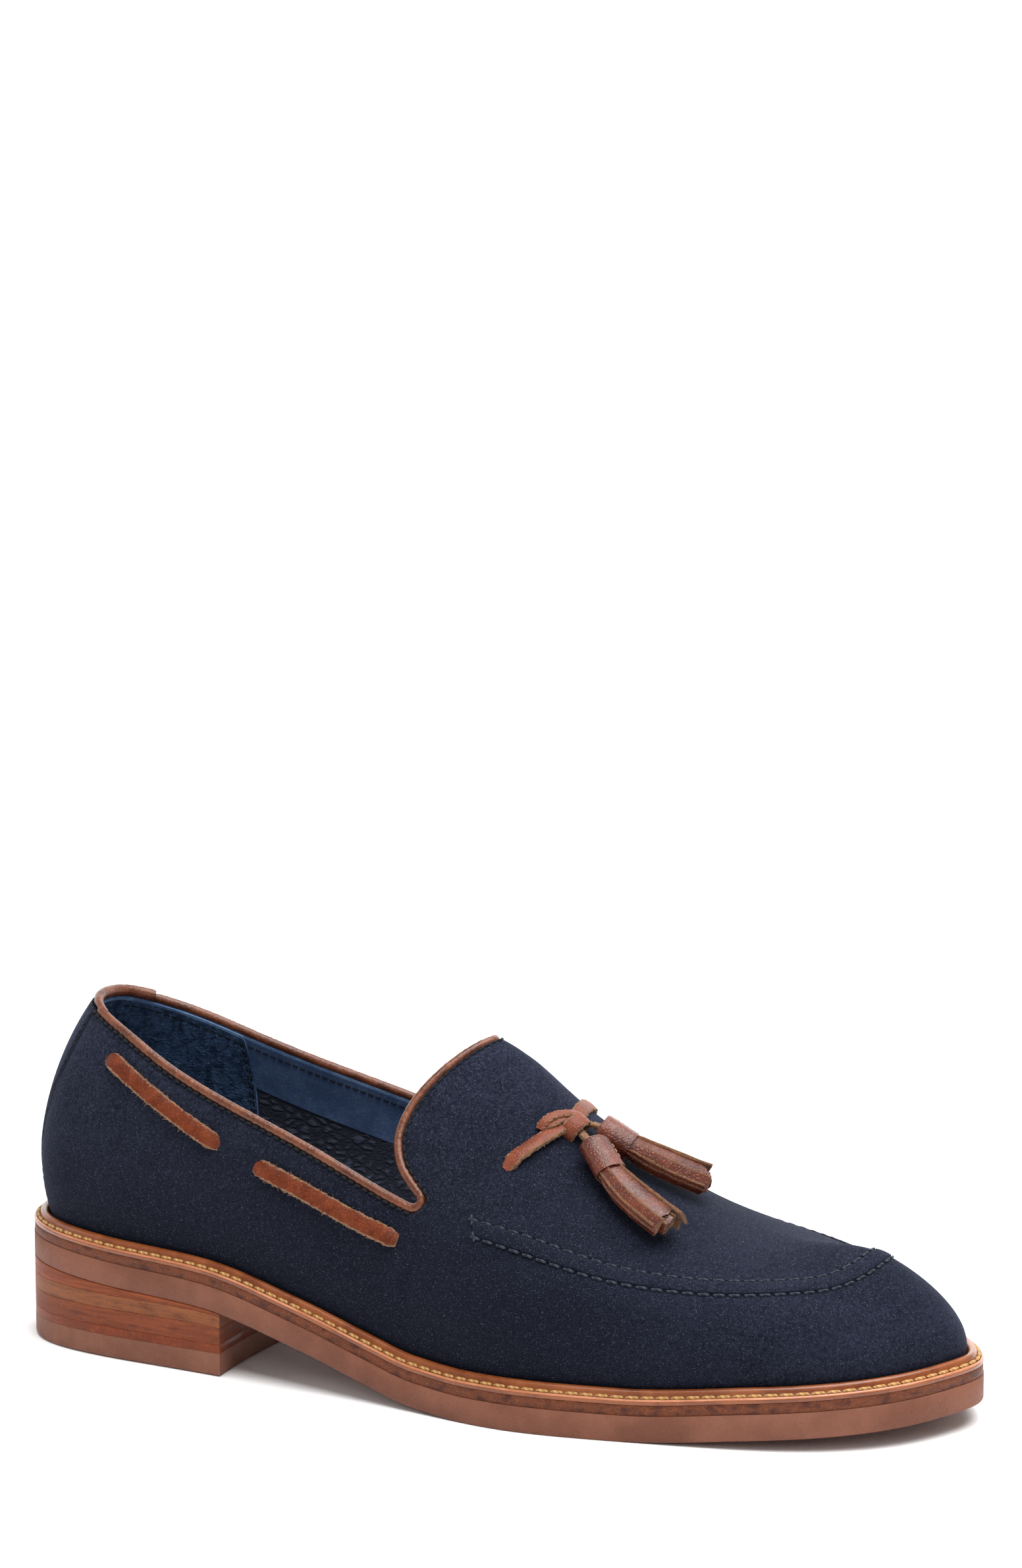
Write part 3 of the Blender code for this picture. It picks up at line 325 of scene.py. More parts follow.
def loop_bends(keys: Point, values: Point, period: float) -> Point:
    """Second derivatives of the smooth closed curve through values at keys.

    Args:
        keys: Rising places of the values.
        values: What the curve passes through.
        period: Length of the whole loop.

    Returns:
        The bend at each key.
    """
    count = len(keys)
    steps = np.append(np.diff(keys), keys[0] + period - keys[-1])
    system = np.zeros((count, count))
    slopes = (np.roll(values, -1) - values) / steps
    for i in range(count):
        system[i, i - 1] += steps[i - 1]
        system[i, i] += 2.0 * (steps[i - 1] + steps[i])
        system[i, (i + 1) % count] += steps[i]
    return np.linalg.solve(system, 6.0 * (slopes - np.roll(slopes, 1)))


class LoopCurve:
    """A smooth closed curve through values at keys."""

    def __init__(self, keys: Point, values: Point, period: float) -> None:
        """Solves the curve once.

        Args:
            keys: Rising places of the values.
            values: What the curve passes through.
            period: Length of the whole loop.
        """
        self.keys = np.asarray(keys, dtype=float)
        self.values = np.asarray(values, dtype=float)
        self.period = period
        self.bends = loop_bends(self.keys, self.values, period)
        self.steps = np.append(np.diff(self.keys), self.keys[0] + period - self.keys[-1])

    def at(self, places: Point | float) -> Point:
        """Values of the curve at places.

        Args:
            places: One place or an array of them.

        Returns:
            The values there.
        """
        count = len(self.keys)
        wrapped = self.keys[0] + np.mod(np.asarray(places, dtype=float) - self.keys[0], self.period)
        i = np.clip(np.searchsorted(self.keys, wrapped, side="right") - 1, 0, count - 1)
        k = (i + 1) % count
        b = (wrapped - self.keys[i]) / self.steps[i]
        a = 1.0 - b
        curve = (a ** 3 - a) * self.bends[i] + (b ** 3 - b) * self.bends[k]
        return a * self.values[i] + b * self.values[k] + curve * self.steps[i] ** 2 / 6.0


def steady_spline(keys: Point, values: Point, places: Point | float) -> Point:
    """Curve through values at keys that never overshoots them.

    Args:
        keys: Rising places of the values.
        values: What the curve passes through.
        places: Where the curve is read.

    Returns:
        The values at the places.
    """
    keys = np.asarray(keys, dtype=float)
    values = np.asarray(values, dtype=float)
    steps = np.diff(keys)
    slopes = np.diff(values) / steps
    tangents = np.zeros(len(keys))
    tangents[0] = slopes[0]
    tangents[-1] = slopes[-1]
    for i in range(1, len(keys) - 1):
        if slopes[i - 1] * slopes[i] > 0.0:
            first = 2.0 * steps[i] + steps[i - 1]
            second = steps[i] + 2.0 * steps[i - 1]
            tangents[i] = (first + second) / (first / slopes[i - 1] + second / slopes[i])
    places = np.asarray(places, dtype=float)
    i = np.clip(np.searchsorted(keys, places, side="right") - 1, 0, len(steps) - 1)
    t = np.clip((places - keys[i]) / steps[i], 0.0, 1.0)
    start = (2.0 * t ** 3 - 3.0 * t ** 2 + 1.0) * values[i]
    end = (3.0 * t ** 2 - 2.0 * t ** 3) * values[i + 1]
    leave = (t ** 3 - 2.0 * t ** 2 + t) * steps[i] * tangents[i]
    reach = (t ** 3 - t ** 2) * steps[i] * tangents[i + 1]
    return start + end + leave + reach


def hermite(start: Point, leave: Point, end: Point, reach: Point, t: float) -> Point:
    """Point at t on the curve from start to end with the given end tangents.

    Args:
        start: First point.
        leave: Tangent at the first point.
        end: Last point.
        reach: Tangent at the last point.
        t: Share of the way.

    Returns:
        The point.
    """
    return (
        (2.0 * t ** 3 - 3.0 * t ** 2 + 1.0) * start
        + (t ** 3 - 2.0 * t ** 2 + t) * leave
        + (3.0 * t ** 2 - 2.0 * t ** 3) * end
        + (t ** 3 - t ** 2) * reach
    )


def unit(vector: Point) -> Point:
    """The vector at length one."""
    return vector / np.linalg.norm(vector)


class Outline:
    """The sole edge from above, read by a signed share of its half round.

    0 is the back of the heel, 1 the toe tip along the lateral side and -1 the toe tip along the
    medial side.
    """

    SAMPLES = 1600

    def __init__(self) -> None:
        """Draws the edge through the table's points at its true length."""
        along, lateral, medial = SOLE_EDGE.values()
        x = np.concatenate([[0.0], along, [1.0], along[::-1]]) * LENGTH
        y = np.concatenate([[0.0], -lateral, [TOE_TIP_ACROSS], medial[::-1]]) * BALL_WIDTH
        hops = np.hypot(np.roll(x, -1) - x, np.roll(y, -1) - y)
        keys = np.concatenate([[0.0], np.cumsum(hops)[:-1]])
        total = float(hops.sum())
        places = np.linspace(0.0, total, self.SAMPLES, endpoint=False)
        x = LoopCurve(keys, x, total).at(places)
        y = LoopCurve(keys, y, total).at(places)
        self.middle = 0.5 * (y.min() + y.max())
        back = x.min()
        x = (x - back) * LENGTH / (x.max() - back) - 0.5 * LENGTH
        y = y - self.middle
        heel = int(np.argmin(x))
        x = np.roll(x, -heel)
        y = np.roll(y, -heel)
        tip = int(np.argmax(x))
        hops = np.hypot(np.roll(x, -1) - x, np.roll(y, -1) - y)
        travel = np.concatenate([[0.0], np.cumsum(hops)])
        lateral_share = travel[: tip + 1] / travel[tip]
        medial_share = -(travel[-1] - travel[tip:]) / (travel[-1] - travel[tip])
        x = np.append(x, x[0])
        y = np.append(y, y[0])
        self.round_length = float(travel[-1])
        self.keys = np.concatenate([medial_share[:-1], lateral_share])
        self.x = np.concatenate([x[tip:-1], x[: tip + 1]])
        self.y = np.concatenate([y[tip:-1], y[: tip + 1]])
        grow_x = np.gradient(self.x)
        grow_y = np.gradient(self.y)
        size = np.hypot(grow_x, grow_y)
        self.out_x = grow_y / size
        self.out_y = -grow_x / size

    def outward(self, share: float) -> Point:
        """Unit vector that points out of the edge at a signed share.

        Args:
            share: Signed share round the shoe.

        Returns:
            The vector.
        """
        share = (share + 1.0) % 2.0 - 1.0
        out = (np.interp(share, self.keys, self.out_x), np.interp(share, self.keys, self.out_y))
        return unit(np.array(out))

    def point(self, share: float, inset: float = 0.0) -> Point:
        """Point of the edge at a signed share, moved inward by inset.

        Args:
            share: Signed share round the shoe.
            inset: Metres inward.

        Returns:
            The point from above.
        """
        share = (share + 1.0) % 2.0 - 1.0
        place = (np.interp(share, self.keys, self.x), np.interp(share, self.keys, self.y))
        return np.array(place) - inset * self.outward(share)


EDGE = Outline()


@lru_cache(maxsize=None)
def sole_level(x: float) -> float:
    """Height of the outsole's underside at x.

    Args:
        x: Place along the shoe.

    Returns:
        The height.
    """
    along, heel, toe = UNDERSIDE.values()
    share = x / LENGTH + 0.5
    raised = HEEL_HEIGHT * steady_spline(along, heel, share)
    return float(raised + TOE_SPRING * steady_spline(along, toe, share))


def even_shares(count: int) -> Point:
    """Shares from 0 to 1, closer together at both ends where the outline turns."""
    t = np.linspace(0.0, 1.0, count + 1)
    return t - 0.45 * np.sin(2.0 * math.pi * t) / (2.0 * math.pi)


def sole_shares(count: int) -> Point:
    """Signed shares round the whole outline, in order from the heel back."""
    side = even_shares(count)
    return np.concatenate([side, -side[-2:0:-1]])


class Last:
    """The outer surface of the upper as a fan of columns round the shoe.

    A column climbs from 0 at the sole over 1 at the collar or apron line to 2 at the ridge.
    """

    NEAR = 0.004

    def __init__(self) -> None:
        """Solves the table's curves once."""
        keys = np.concatenate([-LAST["round"][:0:-1], LAST["round"][:-1]])
        loops = {
            "across": np.concatenate([LAST["medial"][:0:-1], -LAST["lateral"][:-1]]),
            "up": np.concatenate([LAST["medial_up"][:0:-1], LAST["lateral_up"][:-1]]),
        }
        for name in ("along", "flare", "lean"):
            loops[name] = np.concatenate([LAST[name][:0:-1], LAST[name][:-1]])
        self.loops = {name: LoopCurve(keys, values, 2.0) for name, values in loops.items()}
        self.fillet = THROAT_TIP_START / LENGTH
        self.columns: dict[float, dict[str, Point]] = {}
        self.corners = {side: self.corner(side) for side in (1.0, -1.0)}

    def read(self, name: str, share: float) -> float:
        """Value of a named curve of the table at a signed share."""
        return float(self.loops[name].at(share))

    def table_line(self, share: float) -> Point:
        """Point of the collar and apron line with a sharp corner at the throat.

        Args:
            share: Signed share round the shoe.

        Returns:
            The point.
        """
        x = (self.read("along", share) - 0.5) * LENGTH
        y = self.read("across", share) * BALL_WIDTH - EDGE.middle
        return np.array([x, y, self.read("up", share) * INSTEP_HEIGHT])

    def corner(self, side: float) -> tuple[tuple[Point, ...], Point]:
        """Handles of the throat's rounded tip and its shift.

        Args:
            side: 1 for the lateral side and -1 for the medial side.

        Returns:
            The four handles, and the shift at the tip.
        """
        share = side * THROAT_ROUND
        begin = self.table_line(side * (THROAT_ROUND - self.fillet))
        ahead = self.table_line(share)
        along = unit(ahead - begin)
        climb = self.lean_direction(share)
        forward = np.array([1.0, 0.0, 0.0])
        shift = climb * THROAT_TIP_RISE + forward * THROAT_TIP_FORWARD
        end = ahead + shift
        arrive = 0.55 * THROAT_TIP_RADIUS * (0.87 * climb + 0.50 * forward)
        return (begin, begin + 0.55 * THROAT_TIP_RADIUS * along, end - arrive, end), shift

    def tip_fade(self, share: float) -> float:
        """Share of the throat tip's shift that is left at a column forward of it."""
        forward = min(1.0, (abs(share) - THROAT_ROUND) / THROAT_FADE)
        return 0.5 + 0.5 * math.cos(math.pi * forward)

    def line(self, share: float) -> Point:
        """Point of the collar, and forward of the throat of the apron's outer edge.

        Args:
            share: Signed share round the shoe.

        Returns:
            The point.
        """
        size = abs(share)
        if not THROAT_ROUND - self.fillet < size < THROAT_ROUND + THROAT_FADE:
            return self.table_line(share)
        handles, shift = self.corners[math.copysign(1.0, share)]
        if size <= THROAT_ROUND:
            t = 1.0 - (THROAT_ROUND - size) / self.fillet
            weights = ((1.0 - t) ** 3, 3.0 * t * (1.0 - t) ** 2, 3.0 * t * t * (1.0 - t), t ** 3)
            return sum(weight * handle for weight, handle in zip(weights, handles))
        return self.table_line(share) + shift * self.tip_fade(share)

    def ridge_at(self, along: float) -> Point:
        """Point of the ridge at a share of the length.

        Args:
            along: Share of the length.

        Returns:
            The point.
        """
        up = float(steady_spline(PROFILE["along"], PROFILE["up"], along))
        across = float(steady_spline(PROFILE["along"], PROFILE["across"], along))
        x = (along - 0.5) * LENGTH
        return np.array([x, across * BALL_WIDTH - EDGE.middle, up * INSTEP_HEIGHT])

    def ridge_share(self, share: float) -> float:
        """Share of the length at which the column ends on the ridge."""
        return float(steady_spline(*RIDGE.values(), abs(share)))

    def lean_direction(self, share: float) -> Point:
        """Unit direction straight up the surface where it crosses the line.

        Args:
            share: Signed share round the shoe.

        Returns:
            The direction.
        """
        out = EDGE.outward(share)
        inward = np.array([-out[0], -out[1]])
        if abs(share) > THROAT_ROUND:
            reach = self.ridge_at(self.ridge_share(share)) - self.table_line(share)
            blend = min(1.0, (abs(share) - THROAT_ROUND) / THROAT_FADE)
            inward = (1.0 - blend) * inward + blend * unit(reach[:2])
        inward = unit(inward)
        lean = math.radians(self.read("lean", share))
        return np.array([inward[0] * math.sin(lean), inward[1] * math.sin(lean), math.cos(lean)])

    def column(self, share: float) -> dict[str, Point]:
        """Ends and end tangents of the wall and the crown at a signed share, solved once.

        Args:
            share: Signed share round the shoe.

        Returns:
            The ends and tangents by name.
        """
        share = round(float(share), 9)
        if share in self.columns:
            return self.columns[share]
        x, y = EDGE.point(share, WELT_WIDTH)
        foot = np.array([x, y, sole_level(float(x)) + WELT_RISE])
        line = self.line(share)
        lean = self.lean_direction(share)
        size = np.linalg.norm(line - foot)
        flare = math.radians(self.read("flare", share))
        out = EDGE.outward(share)
        leave = np.array([out[0] * math.sin(flare), out[1] * math.sin(flare), math.cos(flare)])
        along = self.ridge_share(share)
        head = self.ridge_at(along)
        span = head - line
        rise = self.ridge_at(along + self.NEAR) - self.ridge_at(along - self.NEAR)
        reach = np.array([span[0], span[1], rise[2] / rise[0] * span[0]])
        sweep = float(steady_spline(*SWEEP.values(), abs(share)))
        turn = lean - np.array([sweep * LENGTH / np.linalg.norm(span), 0.0, 0.0])
        shift = THROAT_TIP_RADIUS * self.tip_fade(max(abs(share), THROAT_ROUND))
        self.columns[share] = {
            "foot": foot, "leave": leave * size, "line": line, "arrive": lean * size,
            "turn": turn * np.linalg.norm(span), "head": head, "reach": reach, "shift": shift,
        }
        return self.columns[share]

    def point(self, share: float, climb: float) -> Point:
        """Point of the surface at a signed share and a climb.

        Args:
            share: Signed share round the shoe.
            climb: Climb of the point.

        Returns:
            The point.
        """
        c = self.column(share)
        if climb <= 1.0:
            return hermite(c["foot"], c["leave"], c["line"], c["arrive"], climb)
        t = climb - 1.0
        point = hermite(c["line"], c["turn"], c["head"], c["reach"], t)
        point[0] += float(steady_spline(*TIP.values(), t)) * c["shift"]
        return point

    def normal(self, share: float, climb: float) -> Point:
        """Unit vector that points out of the surface.

        Args:
            share: Signed share round the shoe.
            climb: Climb of the point.

        Returns:
            The vector.
        """
        side = math.copysign(1.0, share)
        size = abs(share)
        floor = 0.0
        behind = size - self.NEAR
        if climb > 1.0:
            floor = 1.0
            behind = max(THROAT_ROUND, behind)
        ahead = self.point(side * (size + self.NEAR), climb)
        round_the_shoe = side * (ahead - self.point(side * behind, climb))
        top = 1.0 if size < THROAT_ROUND - self.NEAR else 2.0
        high = self.point(share, min(top, climb + self.NEAR))
        across = np.cross(round_the_shoe, high - self.point(share, max(floor, climb - self.NEAR)))
        return unit(across)

    def travel(self, share: float, climb: float, steps: int = 12) -> float:
        """Signed distance over the surface from the line up to a climb.

        Args:
            share: Signed share round the shoe.
            climb: Climb of the point.
            steps: Number of points on the way.

        Returns:
            The distance.
        """
        places = np.linspace(1.0, climb, steps)
        points = np.array([self.point(share, place) for place in places])
        length = float(np.linalg.norm(np.diff(points, axis=0), axis=1).sum())
        return math.copysign(length, climb - 1.0)

    def climb_at(self, share: float, distance: float) -> float:
        """Climb at a signed distance over the surface from the line.

        Args:
            share: Signed share round the shoe.
            distance: Metres above the line, negative below it.

        Returns:
            The climb.
        """
        end = 2.0 if distance > 0.0 else 0.0
        places = np.linspace(1.0, end, 60)
        points = np.array([self.point(share, place) for place in places])
        travel = np.concatenate([[0.0], np.cumsum(np.linalg.norm(np.diff(points, axis=0), axis=1))])
        return float(np.interp(abs(distance), travel, places))

    def inner(self, share: float, climb: float, depth: float) -> Point:
        """Point at a depth under the outer surface."""
        return self.point(share, climb) - depth * self.normal(share, climb)


SHAPE = Last()


def backstay_edge(climb: float) -> float:
    """Share round the shoe of the backstay's edge, which widens between two climbs."""
    low, span = 0.25, 0.45
    return BACKSTAY_FOOT + BACKSTAY_SPREAD * min(1.0, max(0.0, (climb - low) / span))


def crown_size(share: float) -> float:
    """Straight distance from the line to the ridge along a column."""
    return float(np.linalg.norm(SHAPE.ridge_at(SHAPE.ridge_share(share)) - SHAPE.line(share)))


class Wire:
    """An output socket of a material's tree that takes part in Python expressions."""

    def __init__(self, sheet: "Sheet", socket: bpy.types.NodeSocket) -> None:
        """Keeps the socket and the sheet that its sums are drawn on."""
        self.sheet = sheet
        self.socket = socket

    def sum(self, operation: str, first: "Number", second: "Number") -> "Wire":
        """One Math node on two values."""
        return self.sheet.wire("ShaderNodeMath", {"operation": operation}, {0: first, 1: second})

    def __add__(self, other: "Number") -> "Wire":
        """Sum of two values."""
        return self.sum("ADD", self, other)

    def __sub__(self, other: "Number") -> "Wire":
        """This value less another."""
        return self.sum("SUBTRACT", self, other)

    def __rsub__(self, other: "Number") -> "Wire":
        """Another value less this one."""
        return self.sum("SUBTRACT", other, self)

    def __mul__(self, other: "Number") -> "Wire":
        """Product of two values."""
        return self.sum("MULTIPLY", self, other)

    def __truediv__(self, other: "Number") -> "Wire":
        """This value over another."""
        return self.sum("DIVIDE", self, other)

    __radd__ = __add__
    __rmul__ = __mul__


Number = Wire | float


class Tree:
    """A node tree whose nodes are added with their settings and sockets in one call."""

    tree: bpy.types.NodeTree

    def feed(self, socket: bpy.types.NodeSocket, value: object) -> None:
        """Links or sets a socket.

        Args:
            socket: The input.
            value: A wire, an output socket, a number, or the numbers of a vector or colour.
        """
        if isinstance(value, Wire):
            value = value.socket
        if isinstance(value, bpy.types.NodeSocket):
            self.tree.links.new(value, socket)
        elif isinstance(value, tuple) and socket.type == "RGBA":
            socket.default_value = (*value, 1.0)
        else:
            socket.default_value = value

    def node(self, kind: str, settings: dict | None = None, sockets: dict | None = None) -> bpy.types.Node:
        """Adds a node.

        Args:
            kind: The node's type.
            settings: Its settings.
            sockets: Values or links of its inputs, by name or number.

        Returns:
            The node.
        """
        node = self.tree.nodes.new(kind)
        for name, value in (settings or {}).items():
            setattr(node, name, value)
        for name, value in (sockets or {}).items():
            self.feed(node.inputs[name], value)
        return node


class Sheet(Tree):
    """The node tree of one material, with its Principled shader."""

    def __init__(self, name: str, **constants: float | Colour) -> None:
        """Starts a material.

        Args:
            name: Name of the material.
            **constants: Values of the shader's sockets, with _ for a space in their names.
        """
        self.material = bpy.data.materials.new(name)
        self.material.use_nodes = True
        self.tree = self.material.node_tree
        self.tree.nodes.clear()
        self.shader = self.node("ShaderNodeBsdfPrincipled")
        self.node("ShaderNodeOutputMaterial", {}, {"Surface": self.shader.outputs[0]})
        for socket, value in constants.items():
            self.feed(self.shader.inputs[socket.replace("_", " ")], value)

    def wire(
        self, kind: str, settings: dict | None = None, sockets: dict | None = None, output: int | str = 0
    ) -> Wire:
        """Adds a node and gives one of its outputs.

        Args:
            kind: The node's type.
            settings: Its settings.
            sockets: Values or links of its inputs.
            output: Name or number of the output.

        Returns:
            The output as a wire.
        """
        return Wire(self, self.node(kind, settings, sockets).outputs[output])

    def place(self, stretch: Colour = (1.0, 1.0, 1.0), turn: Colour = (0.0, 0.0, 0.0)) -> Wire:
        """Object coordinates in metres, stretched and turned.

        Args:
            stretch: Stretch along each axis.
            turn: Turn round each axis.

        Returns:
            The place.
        """
        spot = self.wire("ShaderNodeTexCoord", output="Object")
        sockets = {"Vector": spot, "Scale": stretch, "Rotation": turn}
        return self.wire("ShaderNodeMapping", {"vector_type": "POINT"}, sockets)

    def uv(self) -> tuple[Wire, Wire]:
        """The two coordinates of the piece's own UV map.

        Returns:
            The coordinates.
        """
        spot = self.wire("ShaderNodeTexCoord", output="UV")
        parts = self.node("ShaderNodeSeparateXYZ", {}, {0: spot})
        return Wire(self, parts.outputs[0]), Wire(self, parts.outputs[1])

    def noise(
        self, spot: Wire, size: float, detail: float = 2.0, rough: float = 0.5, bend: float = 0.0,
    ) -> Wire:
        """Soft noise with lumps of a size in metres.

        Args:
            spot: Where it is read.
            size: Size of its lumps.
            detail: Number of finer layers.
            rough: Strength of the finer layers.
            bend: How far it is distorted.

        Returns:
            Values round 0.5.
        """
        sockets = {
            "Vector": spot, "Scale": 1.0 / size, "Detail": detail, "Roughness": rough, "Distortion": bend,
        }
        return self.wire("ShaderNodeTexNoise", {}, sockets)

    def noise_colour(self, spot: Wire, size: float) -> Wire:
        """Soft noise in three independent parts."""
        sockets = {"Vector": spot, "Scale": 1.0 / size, "Detail": 1.0}
        return self.wire("ShaderNodeTexNoise", {}, sockets, "Color")

    def cells(self, spot: Wire, size: float, feature: str = "DISTANCE_TO_EDGE") -> Wire:
        """Cells of a size in metres, as the distance to their edge or centre."""
        return self.wire("ShaderNodeTexVoronoi", {"feature": feature}, {"Vector": spot, "Scale": 1.0 / size})

    def fade(self, value: Number, low: float, high: float, first: float = 0.0, last: float = 1.0) -> Wire:
        """Smooth step of a value from low to high.

        Args:
            value: What is read.
            low: Value where the step starts.
            high: Value where it ends.
            first: Result below low.
            last: Result above high.

        Returns:
            The step.
        """
        sockets = {"Value": value, "From Min": low, "From Max": high, "To Min": first, "To Max": last}
        return self.wire("ShaderNodeMapRange", {"interpolation_type": "SMOOTHSTEP"}, sockets)

    def size(self, value: Wire) -> Wire:
        """A value without its sign."""
        return self.wire("ShaderNodeMath", {"operation": "ABSOLUTE"}, {0: value})

    def near(self, value: Number, middle: float, reach: float) -> Wire:
        """1 where a value is at a middle, fading to 0 at a reach from it."""
        return self.fade(self.size(value - middle), 0.0, reach, 1.0, 0.0)

    def larger(self, first: Number, second: Number) -> Wire:
        """The larger of two values."""
        return self.wire("ShaderNodeMath", {"operation": "MAXIMUM"}, {0: first, 1: second})

    def mix(self, share: Number, first: object, second: object) -> Wire:
        """Colour between two colours."""
        sockets = {0: share, 6: first, 7: second}
        return self.wire("ShaderNodeMix", {"data_type": "RGBA"}, sockets, 2)

    def bump(self, height: Wire, depth: float, strength: float = 1.0, under: Wire | None = None) -> Wire:
        """Surface direction of a height map.

        Args:
            height: The height, 0 to 1.
            depth: Metres from 0 to 1.
            strength: How much of it is used.
            under: A bump that this one lies on.

        Returns:
            The normal.
        """
        sockets = {"Height": height, "Distance": depth, "Strength": strength}
        if under is not None:
            sockets["Normal"] = under
        return self.wire("ShaderNodeBump", {}, sockets)

    def finish(self, colour: Wire | Colour, rough: Number, normal: Wire | None = None) -> bpy.types.Material:
        """Feeds the shader and gives the material.

        Args:
            colour: Base colour.
            rough: Roughness.
            normal: Surface direction.

        Returns:
            The finished material.
        """
        self.feed(self.shader.inputs["Base Color"], colour)
        self.feed(self.shader.inputs["Roughness"], rough)
        if normal is not None:
            self.feed(self.shader.inputs["Normal"], normal)
        return self.material


class Marks(Enum):
    """What a suede surface carries besides its nap."""

    NONE = "none"
    SEAMS = "seams"


@dataclass(frozen=True)
class Suede:
    """Napped leather, mottled where the nap lies another way.

    The share named low darkens the foot of the wall, most towards the heel. It follows the shade
    in the photograph, so it is part of its light and not of the leather.
    """

    name: str
    deep: Colour
    light: Colour
    speck: Colour
    grain: float = 0.00036
    relief: float = 0.00026
    patch: float = 0.013
    sheen: float = 0.06
    low: float = 0.0
    sheen_tint: Colour = (0.45, 0.55, 0.95)
    marks: Marks = Marks.NONE

    def material(self) -> bpy.types.Material:
        """Draws the nap, its patches, painted shade low on the wall and, on the upper, the grooves of its
        seams, darkened partly as the seam's own line and partly by painted shade.

        Returns:
            The material.
        """
        sheet = Sheet(
            self.name, Sheen_Weight=self.sheen, Sheen_Roughness=0.45, Sheen_Tint=self.sheen_tint,
            Specular_IOR_Level=0.12,
        )
        spot = sheet.place()
        brushed = sheet.place((1.0, 1.0, 1.9), (0.0, 0.35, 0.0))
        patch = sheet.noise(brushed, self.patch, 3.0, 0.55, 0.6)
        cloud = sheet.noise(spot, 4.0 * self.patch, 1.0)
        nap = sheet.noise(brushed, self.grain, 2.0, 0.6)
        tuft = sheet.noise(spot, 2.6 * self.grain, 2.0, 0.65, 0.4)
        tone = sheet.fade(patch * 0.22 + cloud * 0.18 + tuft * 0.6, 0.36, 0.66)
        colour = sheet.mix(tone, self.deep, self.light)
        level = sheet.node("ShaderNodeSeparateXYZ", {}, {0: spot})
        low = sheet.fade(Wire(sheet, level.outputs[2]), 0.026, 0.112, self.low, 0.0)
        low = low * sheet.fade(Wire(sheet, level.outputs[0]), 0.02, 0.12, 1.0, 0.45)
        colour = sheet.mix(low, colour, self.deep)
        colour = sheet.mix(sheet.fade(nap, 0.30, 0.46, 0.55, 0.0), colour, tuple(0.35 * c for c in self.deep))
        colour = sheet.mix(sheet.fade(nap, 0.60, 0.76, 0.0, 0.9), colour, self.speck)
        height = nap * 0.6 + tuft * 0.4
        normal = sheet.bump(height, self.relief)
        if self.marks is Marks.SEAMS:
            seam_groove_shade = self.seams(sheet)
            # Seam grooves darkened: partly the seam's own dark line, partly painted shade in the groove.
            colour = sheet.mix(seam_groove_shade * 0.75, colour, tuple(0.2 * c for c in self.deep))
            normal = sheet.bump(1.0 - seam_groove_shade, 0.0004, 0.9, normal)
        return sheet.finish(colour, sheet.fade(nap, 0.3, 0.7, 1.0, 0.86), normal)

    def seams(self, sheet: Sheet) -> Wire:
        """1 in the grooves along the apron's rows, the topline and the backstay's edges.

        Args:
            sheet: The material's tree. The piece's UV map holds its place round the shoe, and its
                distance over the surface from the collar and apron line.

        Returns:
            The grooves.
        """
        turn, climb = sheet.uv()
        turn = sheet.size(turn)
        front = sheet.fade(turn, BAND_START - 0.004, BAND_START)
        rear = sheet.fade(turn, THROAT_ROUND - 0.004, THROAT_ROUND + 0.002, 1.0, 0.0)
        band = UV_SCALE * BAND_WIDTH
        rows = sheet.larger(sheet.near(climb, -0.001, 0.009), sheet.near(climb, band + 0.001, 0.009))
        cross = sheet.near(turn, BAND_START - 0.0015, 0.003) * sheet.fade(climb, -0.008, 0.0)
        cross = cross * sheet.fade(climb, band, band + 0.008, 1.0, 0.0)
        edge = sheet.fade(climb, -0.46, -0.17, BACKSTAY_FOOT, BACKSTAY_FOOT + BACKSTAY_SPREAD)
        stay = sheet.near(turn - edge, 0.0016, 0.0042)
        topline = sheet.near(climb, -0.002, 0.012) * rear * 0.7
        return sheet.larger(sheet.larger(rows * front, cross), sheet.larger(stay, topline))


@dataclass(frozen=True)
class Leather:
    """Smooth or grained leather with cloudy colour and small pores."""

    name: str
    deep: Colour
    light: Colour
    rough: float = 0.45
    coat: float = 0.15
    grain: float = 0.0011
    relief: float = 0.00005
    patch: float = 0.007
    pores: float = 0.35
    specular: float = 0.5

    def material(self) -> bpy.types.Material:
        """Draws the clouded colour, the grain and the gloss.

        Returns:
            The material.
        """
        sheet = Sheet(self.name, Coat_Weight=self.coat, Coat_Roughness=0.32, Specular_IOR_Level=self.specular)
        spot = sheet.place()
        cloud = sheet.noise(spot, self.patch, 3.0, 0.6, 0.4)
        grain = sheet.fade(sheet.cells(spot, self.grain), 0.0, 0.35)
        pore = sheet.noise(spot, 0.4 * self.grain, 2.0, 0.6)
        colour = sheet.mix(sheet.fade(cloud, 0.32, 0.68), self.deep, self.light)
        dark = tuple(0.45 * c for c in self.deep)
        colour = sheet.mix((1.0 - grain) * self.pores, colour, dark)
        colour = sheet.mix(sheet.fade(pore, 0.28, 0.42, self.pores, 0.0), colour, dark)
        height = grain * 0.7 + pore * 0.5 + cloud * 0.4
        rough = sheet.fade(cloud, 0.3, 0.7, self.rough - 0.06, self.rough + 0.08)
        return sheet.finish(colour, rough, sheet.bump(height, self.relief))


